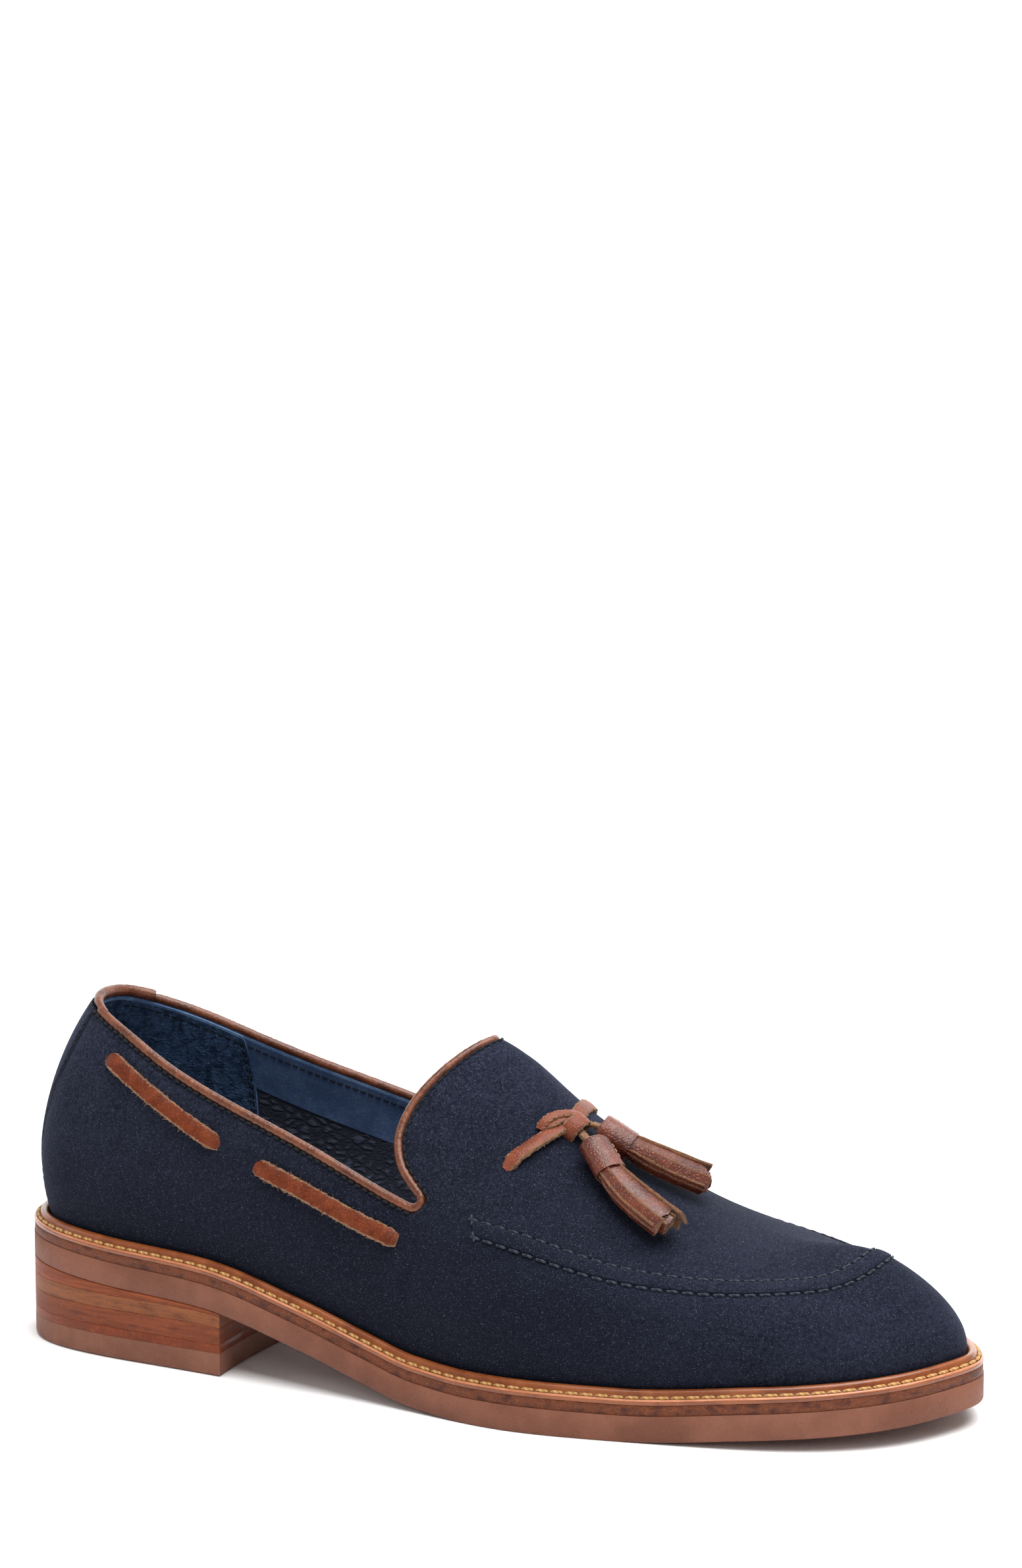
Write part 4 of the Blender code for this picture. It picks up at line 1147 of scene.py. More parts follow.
@dataclass(frozen=True)
class PebbledLeather:
    """Tumbled leather with large soft pebbles and creases between them."""

    name: str
    deep: Colour
    light: Colour
    pebble: float = 0.0031
    relief: float = 0.00045
    rough: float = 0.60

    def material(self) -> bpy.types.Material:
        """Draws pebbles of two sizes, with painted shade in the valleys and a painted highlight on their
        tops.

        Returns:
            The material.
        """
        sheet = Sheet(self.name, Specular_IOR_Level=0.28)
        spot = sheet.place((0.8, 0.8, 1.35))
        drift = sheet.noise(spot, 1.6 * self.pebble, 2.0, 0.5)
        moved = sheet.wire(
            "ShaderNodeVectorMath", {"operation": "MULTIPLY_ADD"},
            {0: sheet.noise_colour(spot, 1.2 * self.pebble), 1: (0.0016,) * 3, 2: spot},
        )
        big = sheet.fade(sheet.cells(moved, self.pebble), 0.0, 0.42)
        small = sheet.fade(sheet.cells(moved, 0.45 * self.pebble), 0.0, 0.4)
        height = big * 0.75 + small * 0.2 + drift * 0.25
        # Colour follows the height: painted shade in the valleys, painted highlight on the pebble tops.
        colour = sheet.mix(sheet.fade(height, 0.35, 1.0), self.deep, self.light)
        rough = sheet.fade(height, 0.3, 1.0, self.rough + 0.25, self.rough)
        return sheet.finish(colour, rough, sheet.bump(height, self.relief))


@dataclass(frozen=True)
class RawEdge:
    """The cut edge and flesh side of a strip: loose tan fibres."""

    name: str
    deep: Colour = (0.090, 0.033, 0.012)
    light: Colour = (0.320, 0.155, 0.070)
    fibre: float = 0.00028

    def material(self) -> bpy.types.Material:
        """Draws tangled fibres with a rough relief.

        Returns:
            The material.
        """
        sheet = Sheet(self.name, Specular_IOR_Level=0.15, Sheen_Weight=0.2, Sheen_Roughness=0.5)
        spot = sheet.place()
        tangle = sheet.noise(spot, 3.0 * self.fibre, 4.0, 0.7, 1.6)
        thread = sheet.near(sheet.noise(spot, 4.2 * self.fibre, 2.0, 0.6, 2.2), 0.5, 0.05)
        colour = sheet.mix(sheet.fade(tangle, 0.32, 0.64), self.deep, self.light)
        colour = sheet.mix(thread * 0.5, colour, tuple(min(1.0, 1.45 * c) for c in self.light))
        height = tangle * 0.7 + thread * 0.3
        return sheet.finish(colour, sheet.fade(tangle, 0.3, 0.7, 0.98, 0.85), sheet.bump(height, 0.0004))


@dataclass(frozen=True)
class FibreBoard:
    """Dark leather board with thin orange fibres in it."""

    name: str
    deep: Colour
    light: Colour
    fibre: Colour
    flatten: float = 1.8
    layered: float = 0.0
    share: float = 0.75

    def material(self) -> bpy.types.Material:
        """Draws curling fibres, and long streaks along the layer where it is layered.

        Returns:
            The material.
        """
        sheet = Sheet(self.name, Specular_IOR_Level=0.22, Coat_Weight=0.04, Coat_Roughness=0.4)
        spot = sheet.place((1.0, 1.0, self.flatten))
        curl = sheet.near(sheet.noise(spot, 0.0015, 2.0, 0.60, 1.8), 0.5, 0.034)
        fine = sheet.near(sheet.noise(spot, 0.0009, 2.0, 0.6, 2.6), 0.47, 0.040)
        cloud = sheet.noise(spot, 0.004, 3.0, 0.65)
        flat = sheet.place((0.055, 0.055, 1.0), (0.0, 0.10, 0.0))
        streak = sheet.noise(flat, 0.0011, 3.0, 0.7)
        tone = sheet.fade(streak * self.layered + cloud * (1.0 - self.layered), 0.36, 0.64)
        colour = sheet.mix(tone, self.deep, self.light)
        gate = sheet.fade(sheet.noise(spot, 0.0040, 1.0), 0.28, 0.46)
        colour = sheet.mix(sheet.larger(curl, fine * 0.8) * gate * self.share, colour, self.fibre)
        height = cloud * 0.4 + streak * 0.4 + curl * 0.3
        return sheet.finish(colour, sheet.fade(cloud, 0.3, 0.7, 0.48, 0.68), sheet.bump(height, 0.00012))


@dataclass(frozen=True)
class Rubber:
    """Matte sole rubber with a fine dry speckle and smooth patches."""

    name: str
    deep: Colour
    light: Colour
    rough: float = 0.62
    tread: bool = False

    def material(self) -> bpy.types.Material:
        """Draws the speckle, and fine cross ribs under the forefoot where it has a tread.

        Returns:
            The material.
        """
        sheet = Sheet(self.name, Specular_IOR_Level=0.35)
        spot = sheet.place()
        cloud = sheet.noise(spot, 0.018, 3.0, 0.55)
        speck = sheet.noise(spot, 0.0006, 2.0, 0.7)
        grain = sheet.noise(spot, 0.0016, 2.0, 0.6)
        colour = sheet.mix(sheet.fade(cloud, 0.34, 0.66), self.deep, self.light)
        colour = sheet.mix(
            sheet.fade(speck, 0.30, 0.42, 0.35, 0.0), colour, tuple(0.55 * c for c in self.deep),
        )
        colour = sheet.mix(
            sheet.fade(speck, 0.60, 0.74, 0.0, 0.3), colour, tuple(min(1.0, 1.35 * c) for c in self.light),
        )
        normal = sheet.bump(speck * 0.5 + grain * 0.5, 0.00012)
        if self.tread:
            normal = self.ribs(sheet, normal)
        return sheet.finish(colour, sheet.fade(speck, 0.3, 0.7, self.rough + 0.1, self.rough - 0.04), normal)

    def ribs(self, sheet: Sheet, under: Wire) -> Wire:
        """Fine ribs on the faces that look down.

        Args:
            sheet: The material's tree.
            under: The relief that they lie on.

        Returns:
            The relief with the ribs.
        """
        facing = sheet.node(
            "ShaderNodeSeparateXYZ", {}, {0: sheet.wire("ShaderNodeNewGeometry", output="Normal")},
        )
        down = sheet.fade(Wire(sheet, facing.outputs[2]), -0.9, -0.6, 1.0, 0.0)
        wave = sheet.wire(
            "ShaderNodeTexWave", {"bands_direction": "DIAGONAL", "wave_profile": "TRI"},
            {"Vector": sheet.place(), "Scale": 36.0, "Distortion": 0.0},
        )
        return sheet.bump(wave * down, 0.0008, 0.8, under)


@dataclass(frozen=True)
class Thread:
    """Twisted sewing thread; its UV map runs round and along each stitch."""

    name: str
    deep: Colour
    light: Colour
    ply: float = 3.0
    rough: float = 0.6

    def material(self) -> bpy.types.Material:
        """Draws the slanted plies, with painted shade between them and a painted highlight on them, and fine
        fibres.

        Returns:
            The material.
        """
        sheet = Sheet(self.name, Specular_IOR_Level=0.2, Sheen_Weight=0.02)
        across, along = sheet.uv()
        slant = sheet.wire(
            "ShaderNodeMath", {"operation": "SINE"}, {0: (across + along * self.ply) * (2.0 * math.pi)},
        )
        ply_relief_and_shade = sheet.fade(slant, -0.8, 0.8)
        fine = sheet.noise(sheet.place(), 0.0003, 2.0, 0.6)
        # Colour follows the plies: painted shade between them, painted highlight on their crowns.
        colour = sheet.mix(ply_relief_and_shade * 0.75 + fine * 0.25, self.deep, self.light)
        return sheet.finish(colour, self.rough, sheet.bump(ply_relief_and_shade * 0.8 + fine * 0.2, 0.00018))


@dataclass(frozen=True)
class Paint:
    """Plain matte paint of the studio, lit from within where it has a glow."""

    name: str
    shade: Colour
    glow: float = 0.0

    def material(self) -> bpy.types.Material:
        """Sets the plain matte surface.

        Returns:
            The material.
        """
        sheet = Sheet(
            self.name, Specular_IOR_Level=0.1, Emission_Color=self.shade, Emission_Strength=self.glow,
        )
        return sheet.finish(self.shade, 0.9)


# Finishes, by what they cover
SUEDE = Suede(
    "navy_suede", (0.0028, 0.0040, 0.0100), (0.0205, 0.0240, 0.0440), (0.125, 0.138, 0.200), low=0.95,
    marks=Marks.SEAMS,
)
GRIP_SUEDE = Suede(
    "heel_grip_suede", (0.0085, 0.0210, 0.0500), (0.0480, 0.0930, 0.1800), (0.130, 0.220, 0.350),
    grain=0.0012, relief=0.0012, patch=0.008, sheen=0.1,
)
QUARTER_LINING = PebbledLeather("quarter_lining", (0.0160, 0.0190, 0.0320), (0.0520, 0.0600, 0.0930))
BAND_LINING = Leather(
    "topline_lining", (0.0370, 0.0680, 0.1500), (0.0600, 0.1050, 0.2100), 0.55, 0.0, 0.0012, 0.00003,
    specular=0.3,
)
LINING_EDGE = Leather(
    "lining_edge", (0.100, 0.180, 0.350), (0.200, 0.330, 0.560), 0.85, 0.0, 0.0006, 0.0001, specular=0.1,
)
PIPING = Leather(
    "piping_leather", (0.088, 0.021, 0.006), (0.175, 0.049, 0.017), 0.36, 0.22, 0.0014, 0.00008, 0.006, 0.25,
    0.35,
)
STRAP = Leather(
    "strap_leather", (0.150, 0.030, 0.010), (0.255, 0.062, 0.025), 0.46, 0.05, 0.0010, 0.00012, 0.006, 0.4,
    0.28,
)
LACE = Leather(
    "lace_leather", (0.105, 0.018, 0.004), (0.190, 0.038, 0.010), 0.42, 0.07, 0.0010, 0.00012, 0.006, 0.4,
    0.16,
)
TASSEL = Leather(
    "tassel_leather", (0.088, 0.014, 0.004), (0.205, 0.040, 0.012), 0.32, 0.32, 0.0010, 0.00022, 0.008, 0.5,
    0.38,
)
WELT = Leather(
    "welt_leather", (0.165, 0.037, 0.007), (0.280, 0.076, 0.017), 0.30, 0.28, 0.0016, 0.00003, 0.012, 0.10,
    0.4,
)
# Lip of the welt, lighter than the welt: partly its edge finish, partly a painted highlight of the glossy
# edge.
WELT_EDGE_AND_HIGHLIGHT = Leather(
    "welt_edge_and_highlight", (0.400, 0.135, 0.055), (0.560, 0.220, 0.105), 0.28, 0.35, 0.0020, 0.00002, 0.010, 0.05, 0.5,
)
INSOLE = Leather("insole_leather", (0.030, 0.036, 0.055), (0.050, 0.060, 0.090), 0.55, 0.05)
RAW = RawEdge("raw_edge_leather")
RAW_DARK = RawEdge("tassel_edge_leather", (0.055, 0.018, 0.006), (0.250, 0.105, 0.042))
FUZZ = RawEdge("loose_fibre", (0.220, 0.100, 0.042), (0.500, 0.290, 0.150))
MIDSOLE = FibreBoard(
    "midsole_leather", (0.066, 0.016, 0.008), (0.108, 0.028, 0.013), (0.400, 0.125, 0.038), share=0.6,
)
OUTSOLE = Rubber("outsole_rubber", (0.140, 0.047, 0.025), (0.195, 0.071, 0.040), tread=True)
TOP_LIFT = Rubber("top_lift_rubber", (0.165, 0.060, 0.034), (0.220, 0.086, 0.049))
HEEL_LAYER = Leather(
    "heel_layer_red", (0.160, 0.029, 0.007), (0.225, 0.043, 0.011), 0.42, 0.05, 0.0020, 0.00003,
    specular=0.18,
)
LIFT_DARK = FibreBoard(
    "lift_leather_dark", (0.150, 0.027, 0.006), (0.270, 0.056, 0.013), (0.380, 0.120, 0.040), 3.0, 0.8, 0.35,
)
LIFT_TAN = FibreBoard(
    "lift_leather_tan", (0.145, 0.037, 0.011), (0.250, 0.075, 0.024), (0.400, 0.165, 0.070), 3.0, 0.7, 0.55,
)
LIFT_RED = FibreBoard(
    "lift_leather_red", (0.120, 0.022, 0.006), (0.215, 0.046, 0.014), (0.390, 0.120, 0.040), 3.0, 0.7, 0.5,
)
GOLD_THREAD = Thread("gold_thread", (0.330, 0.165, 0.050), (0.560, 0.330, 0.125), 3.0)
NAVY_THREAD = Thread("navy_thread", (0.004, 0.006, 0.011), (0.032, 0.038, 0.058), 2.0)
DARK_THREAD = Thread("dark_thread", (0.0015, 0.002, 0.0035), (0.0045, 0.0055, 0.0095))
BROWN_THREAD = Thread("brown_thread", (0.110, 0.040, 0.022), (0.420, 0.240, 0.170))
FLOOR = Paint("studio_floor", (0.92, 0.92, 0.92))
BACKDROP = Paint("studio_backdrop", (1.0, 1.0, 1.0), 0.8)


@lru_cache(maxsize=None)
def dressed(finish: object) -> bpy.types.Material:
    """The material of a finish, made once."""
    return finish.material()


def dress(piece: bpy.types.Object, node: str = "") -> bpy.types.Object:
    """Rides a piece on the body, and hides the solid that it replaces.

    Args:
        piece: The finished piece.
        node: The solid that it replaces, if any.

    Returns:
        The piece.
    """
    if node:
        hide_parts(node)
    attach(piece, "root")
    return piece


def placed(name: str, data: bpy.types.ID) -> bpy.types.Object:
    """A new object in the scene.

    Args:
        name: Its name.
        data: Its mesh, camera or light.

    Returns:
        The object.
    """
    made = bpy.data.objects.new(name, data)
    bpy.context.scene.collection.objects.link(made)
    return made


def split_wide(piece: bpy.types.Object) -> None:
    """Splits a mesh's faces of more than four corners into triangles.

    Args:
        piece: The piece.
    """
    shape = bmesh.new()
    shape.from_mesh(piece.data)
    bmesh.ops.triangulate(shape, faces=[face for face in shape.faces if len(face.verts) > 4])
    shape.to_mesh(piece.data)
    shape.free()


class Skin:
    """Points and faces gathered for one mesh, with a finish and UV corners for each face."""

    def __init__(self) -> None:
        """Starts empty."""
        self.points: list[Point] = []
        self.faces: list[tuple[int, ...]] = []
        self.finishes: list[int] = []
        self.corners: list[tuple[tuple[float, float], ...]] = []

    def face(self, keys: Sequence[int], corners: Sequence[tuple[float, float]], finish: int = 0) -> None:
        """Adds a face without repeated corners.

        Args:
            keys: Its points.
            corners: UV place of each.
            finish: Number of its finish.
        """
        kept = {key: corner for key, corner in zip(keys, corners)}
        if len(kept) > 2:
            self.faces.append(tuple(kept))
            self.corners.append(tuple(kept.values()))
            self.finishes.append(finish)

    def rings(
        self, rings: Sequence[Sequence[Point]], stations: Sequence[float], around: Sequence[float],
        finish: Callable[[int, int], int] = lambda ring, side: 0, closed: bool = True, capped: int = 0,
    ) -> None:
        """Adds a skin over a row of rings.

        Args:
            rings: Points of each ring.
            stations: UV place of each ring along the row.
            around: UV place of each point round a ring, with one more for the ring's end.
            finish: Number of the finish of the face at a ring and a side.
            closed: Whether a ring meets its own start.
            capped: 1 to close both ends with a face, 2 to close the row onto its first ring.
        """
        start = len(self.points)
        count = len(rings[0])
        for ring in rings:
            self.points.extend(ring)
        total = len(rings)
        for r in range(total if capped == 2 else total - 1):
            n = (r + 1) % total
            for k in range(count if closed else count - 1):
                j = (k + 1) % count
                keys = (
                    start + r * count + k, start + r * count + j, start + n * count + j,
                    start + n * count + k,
                )
                low = stations[r]
                high = stations[r + 1]
                corners = ((low, around[k]), (low, around[k + 1]), (high, around[k + 1]), (high, around[k]))
                self.face(keys, corners, finish(r, k))
        if capped == 1:
            for r in (0, total - 1):
                keys = tuple(range(start + r * count, start + (r + 1) * count))
                self.face(keys, tuple((stations[r], a) for a in around[:count]), finish(r, -1))

    def piece(self, name: str, *finishes: object, sharp: float = 50.0) -> bpy.types.Object:
        """Makes the object.

        Args:
            name: Its name.
            *finishes: The finishes that the faces' numbers stand for.
            sharp: Degrees past which an edge stays hard.

        Returns:
            The object, with its faces outward.
        """
        mesh = bpy.data.meshes.new(name)
        mesh.from_pydata([tuple(map(float, p)) for p in self.points], [], self.faces)
        layer = mesh.uv_layers.new(name="UVMap")
        flat = [value for face in self.corners for corner in face for value in corner]
        layer.data.foreach_set("uv", flat)
        mesh.polygons.foreach_set("material_index", self.finishes)
        for finish in finishes:
            mesh.materials.append(dressed(finish))
        shape = bmesh.new()
        shape.from_mesh(mesh)
        bmesh.ops.remove_doubles(shape, verts=shape.verts, dist=1e-7)
        bmesh.ops.recalc_face_normals(shape, faces=shape.faces)
        shape.to_mesh(mesh)
        shape.free()
        mesh.shade_smooth()
        mesh.set_sharp_from_angle(angle=math.radians(sharp))
        return placed(name, mesh)


def settle(piece: bpy.types.Object) -> bpy.types.Object:
    """Turns a piece with its modifiers into a plain mesh.

    Args:
        piece: The piece.

    Returns:
        The same piece.
    """
    bpy.context.view_layer.update()
    graph = bpy.context.evaluated_depsgraph_get()
    mesh = bpy.data.meshes.new_from_object(piece.evaluated_get(graph), depsgraph=graph)
    piece.modifiers.clear()
    piece.data = mesh
    return piece


def smooth_step(value: float) -> float:
    """Rises softly from 0 to 1 as the value does."""
    t = min(1.0, max(0.0, value))
    return t * t * (3.0 - 2.0 * t)


def walk(points: Sequence[Point]) -> Point:
    """Distance along a row of points at each of them."""
    hops = np.linalg.norm(np.diff(np.array(points), axis=0), axis=1)
    return np.concatenate([[0.0], np.cumsum(hops)])


def directions(points: Sequence[Point]) -> Point:
    """Unit direction of travel at each point of a row."""
    steps = np.gradient(np.array(points), axis=0)
    return steps / np.linalg.norm(steps, axis=1)[:, None]


def over_upper(share: float, climb: float, lift: float) -> tuple[Point, Point]:
    """Point off the upper and the normal there, with climb past 2 on the far side.

    Args:
        share: Signed share round the shoe.
        climb: Climb of the point.
        lift: Metres off the surface.

    Returns:
        The point and the normal.
    """
    if climb > 2.0:
        share = -share
        climb = 4.0 - climb
    out = SHAPE.normal(share, climb)
    return SHAPE.point(share, climb) + out * lift, out


def path_over_upper(rows: Rows, count: int, side: float = 1.0) -> tuple[list[Point], list[Point]]:
    """Centres and normals along a centre line given by rows of a table.

    Args:
        rows: Place round the shoe, climb and lift.
        count: Number of centres.
        side: 1 for the lateral side and -1 for the medial side.

    Returns:
        The centres and the normals.
    """
    keys = np.arange(float(len(rows)))
    places = np.linspace(0.0, keys[-1], count)
    values = [steady_spline(keys, np.array(column, dtype=float), places) for column in zip(*rows)]
    pairs = [over_upper(side * share, climb, lift) for share, climb, lift in zip(*values)]
    return [pair[0] for pair in pairs], [pair[1] for pair in pairs]


class RowTree(Tree):
    """Geometry Nodes that set a small shape again and again along rows of points."""

    def __init__(self, name: str) -> None:
        """Starts a tree with its geometry sockets.

        Args:
            name: Name of the tree.
        """
        self.tree = bpy.data.node_groups.new(name, "GeometryNodeTree")
        self.socket("Geometry", "NodeSocketGeometry")
        self.tree.interface.new_socket("Geometry", in_out="OUTPUT", socket_type="NodeSocketGeometry")
        self.source = self.tree.nodes.new("NodeGroupInput")
        self.sink = self.tree.nodes.new("NodeGroupOutput")

    def socket(self, name: str, kind: str = "NodeSocketFloat") -> None:
        """Adds a named input."""
        self.tree.interface.new_socket(name, in_out="INPUT", socket_type=kind)

    def close(self, shapes: bpy.types.NodeSocket) -> None:
        """Ends the tree with plain geometry in its finish.

        Args:
            shapes: The shapes on their spots.
        """
        real = self.node("GeometryNodeRealizeInstances", {}, {0: shapes})
        smooth = self.node("GeometryNodeSetShadeSmooth", {}, {0: real.outputs[0]})
        final = self.node(
            "GeometryNodeSetMaterial", {}, {0: smooth.outputs[0], "Material": self.source.outputs["Finish"]},
        )
        self.tree.links.new(final.outputs[0], self.sink.inputs[0])

    def along(self, name: str, rows: Paths, values: dict) -> bpy.types.Object:
        """Runs the tree along rows of points.

        Args:
            name: Name of the piece.
            rows: Points of each row.
            values: Values of the tree's inputs by name.

        Returns:
            The piece as a plain mesh.
        """
        points = [tuple(map(float, p)) for row in rows for p in row]
        edges = []
        start = 0
        for row in rows:
            edges.extend((start + i, start + i + 1) for i in range(len(row) - 1))
            start += len(row)
        mesh = bpy.data.meshes.new(name)
        mesh.from_pydata(points, edges, [])
        made = placed(name, mesh)
        repeat = made.modifiers.new("rows", "NODES")
        repeat.node_group = self.tree
        inputs = [item for item in self.tree.interface.items_tree if item.in_out == "INPUT"]
        keys = {item.name: item.identifier for item in inputs}
        for key, value in values.items():
            repeat[keys[key]] = value
        return settle(made)


def stitch_tree() -> RowTree:
    """A tree that sews one stitch at each pitch along a row.

    Returns:
        The tree.
    """
    tree = RowTree("stitch_row")
    for name in ("Pitch", "Stitch Length", "Thread Thickness"):
        tree.socket(name)
    tree.socket("Finish", "NodeSocketMaterial")
    source = tree.source.outputs
    curve = tree.node("GeometryNodeMeshToCurve", {}, {0: source["Geometry"]})
    spots = tree.node(
        "GeometryNodeCurveToPoints", {"mode": "LENGTH"},
        {"Curve": curve.outputs[0], "Length": source["Pitch"]},
    )
    turn = tree.node("FunctionNodeAlignRotationToVector", {"axis": "Z"}, {"Vector": spots.outputs["Tangent"]})
    ball = tree.node("GeometryNodeMeshUVSphere", {}, {"Segments": 8, "Rings": 8, "Radius": 0.5})
    mapped = tree.node(
        "GeometryNodeStoreNamedAttribute", {"data_type": "FLOAT2", "domain": "CORNER"},
        {"Geometry": ball.outputs["Mesh"], "Name": "UVMap", "Value": ball.outputs["UV Map"]},
    )
    spot = tree.node("ShaderNodeSeparateXYZ", {}, {0: tree.node("GeometryNodeInputPosition").outputs[0]})
    square = tree.node("ShaderNodeMath", {"operation": "MULTIPLY"}, {0: spot.outputs[2], 1: spot.outputs[2]})
    fuller = tree.node(
        "ShaderNodeMath", {"operation": "MULTIPLY_ADD"}, {0: square.outputs[0], 1: 4.0, 2: 1.0},
    )
    root = tree.node("ShaderNodeMath", {"operation": "SQRT"}, {0: fuller.outputs[0]})
    wide = tree.node("ShaderNodeMath", {"operation": "MULTIPLY"}, {0: spot.outputs[0], 1: root.outputs[0]})
    deep = tree.node("ShaderNodeMath", {"operation": "MULTIPLY"}, {0: spot.outputs[1], 1: root.outputs[0]})
    blunt = tree.node(
        "ShaderNodeCombineXYZ", {}, {0: wide.outputs[0], 1: deep.outputs[0], 2: spot.outputs[2]},
    )
    mapped = tree.node(
        "GeometryNodeSetPosition", {}, {"Geometry": mapped.outputs[0], "Position": blunt.outputs[0]},
    )
    size = tree.node(
        "ShaderNodeCombineXYZ", {},
        {0: source["Thread Thickness"], 1: source["Thread Thickness"], 2: source["Stitch Length"]},
    )
    sewn = tree.node(
        "GeometryNodeInstanceOnPoints", {},
        {
            "Points": spots.outputs["Points"], "Instance": mapped.outputs[0], "Rotation": turn.outputs[0],
            "Scale": size.outputs[0],
        },
    )
    tree.close(sewn.outputs[0])
    return tree


def fibre_tree() -> RowTree:
    """A tree that lets short bent fibres stand out along a row.

    Returns:
        The tree.
    """
    tree = RowTree("loose_fibres")
    for name in ("Spacing", "Fibre Length", "Fibre Radius"):
        tree.socket(name)
    tree.socket("Seed", "NodeSocketInt")
    tree.socket("Finish", "NodeSocketMaterial")
    source = tree.source.outputs
    curve = tree.node("GeometryNodeMeshToCurve", {}, {0: source["Geometry"]})
    spots = tree.node(
        "GeometryNodeCurveToPoints", {"mode": "LENGTH"},
        {"Curve": curve.outputs[0], "Length": source["Spacing"]},
    )
    bend = tree.node(
        "GeometryNodeCurveQuadraticBezier", {},
        {"Resolution": 3, "Start": (0.0, 0.0, 0.0), "Middle": (0.25, 0.1, 0.5), "End": (0.05, -0.1, 1.0)},
    )
    thin = tree.node(
        "ShaderNodeMath", {"operation": "DIVIDE"}, {0: source["Fibre Radius"], 1: source["Fibre Length"]},
    )
    ring = tree.node("GeometryNodeCurvePrimitiveCircle", {}, {"Resolution": 3, "Radius": thin.outputs[0]})
    hair = tree.node(
        "GeometryNodeCurveToMesh", {}, {0: bend.outputs[0], 1: ring.outputs[0], "Fill Caps": True},
    )
    turn = tree.node(
        "FunctionNodeRandomValue", {"data_type": "FLOAT_VECTOR"},
        {0: (-3.14, -3.14, -3.14), 1: (3.14, 3.14, 3.14), "Seed": source["Seed"]},
    )
    rotation = tree.node("FunctionNodeEulerToRotation", {}, {0: turn.outputs[0]})
    grow = tree.node(
        "FunctionNodeRandomValue", {"data_type": "FLOAT"}, {2: 0.25, 3: 1.0, "Seed": source["Seed"]},
    )
    size = tree.node(
        "ShaderNodeMath", {"operation": "MULTIPLY"}, {0: grow.outputs[1], 1: source["Fibre Length"]},
    )
    stood = tree.node(
        "GeometryNodeInstanceOnPoints", {},
        {
            "Points": spots.outputs["Points"], "Instance": hair.outputs[0], "Rotation": rotation.outputs[0],
            "Scale": size.outputs[0],
        },
    )
    tree.close(stood.outputs[0])
    return tree


@dataclass(frozen=True)
class Stitch:
    """Pitch and length of a stitch and thickness of its thread, in metres."""

    pitch: float
    length: float
    thread: float


@dataclass
class Sewing:
    """Stitch rows and loose fibres, each made by its own tree."""

    stitches: RowTree = field(default_factory=stitch_tree)
    fibres: RowTree = field(default_factory=fibre_tree)

    def sew(self, name: str, rows: Paths, finish: Thread, stitch: Stitch) -> None:
        """Sews rows of stitches.

        Args:
            name: Name of the piece.
            rows: Points of each row.
            finish: The thread.
            stitch: Its sizes.
        """
        sizes = {"Pitch": stitch.pitch, "Stitch Length": stitch.length, "Thread Thickness": stitch.thread}
        dress(self.stitches.along(name, rows, {**sizes, "Finish": dressed(finish)}))

    def fray(
        self, name: str, rows: Paths, spacing: float, length: float, seed: int, radius: float = 0.00005,
    ) -> None:
        """Lets fibres stand out along rows.

        Args:
            name: Name of the piece.
            rows: Points of each row.
            spacing: Metres from fibre to fibre.
            length: Length of the longest fibre.
            seed: Seed of their turns and sizes.
            radius: Radius of a fibre.
        """
        sizes = {"Spacing": spacing, "Fibre Length": length, "Fibre Radius": radius, "Seed": seed}
        dress(self.fibres.along(name, rows, {**sizes, "Finish": dressed(FUZZ)}))


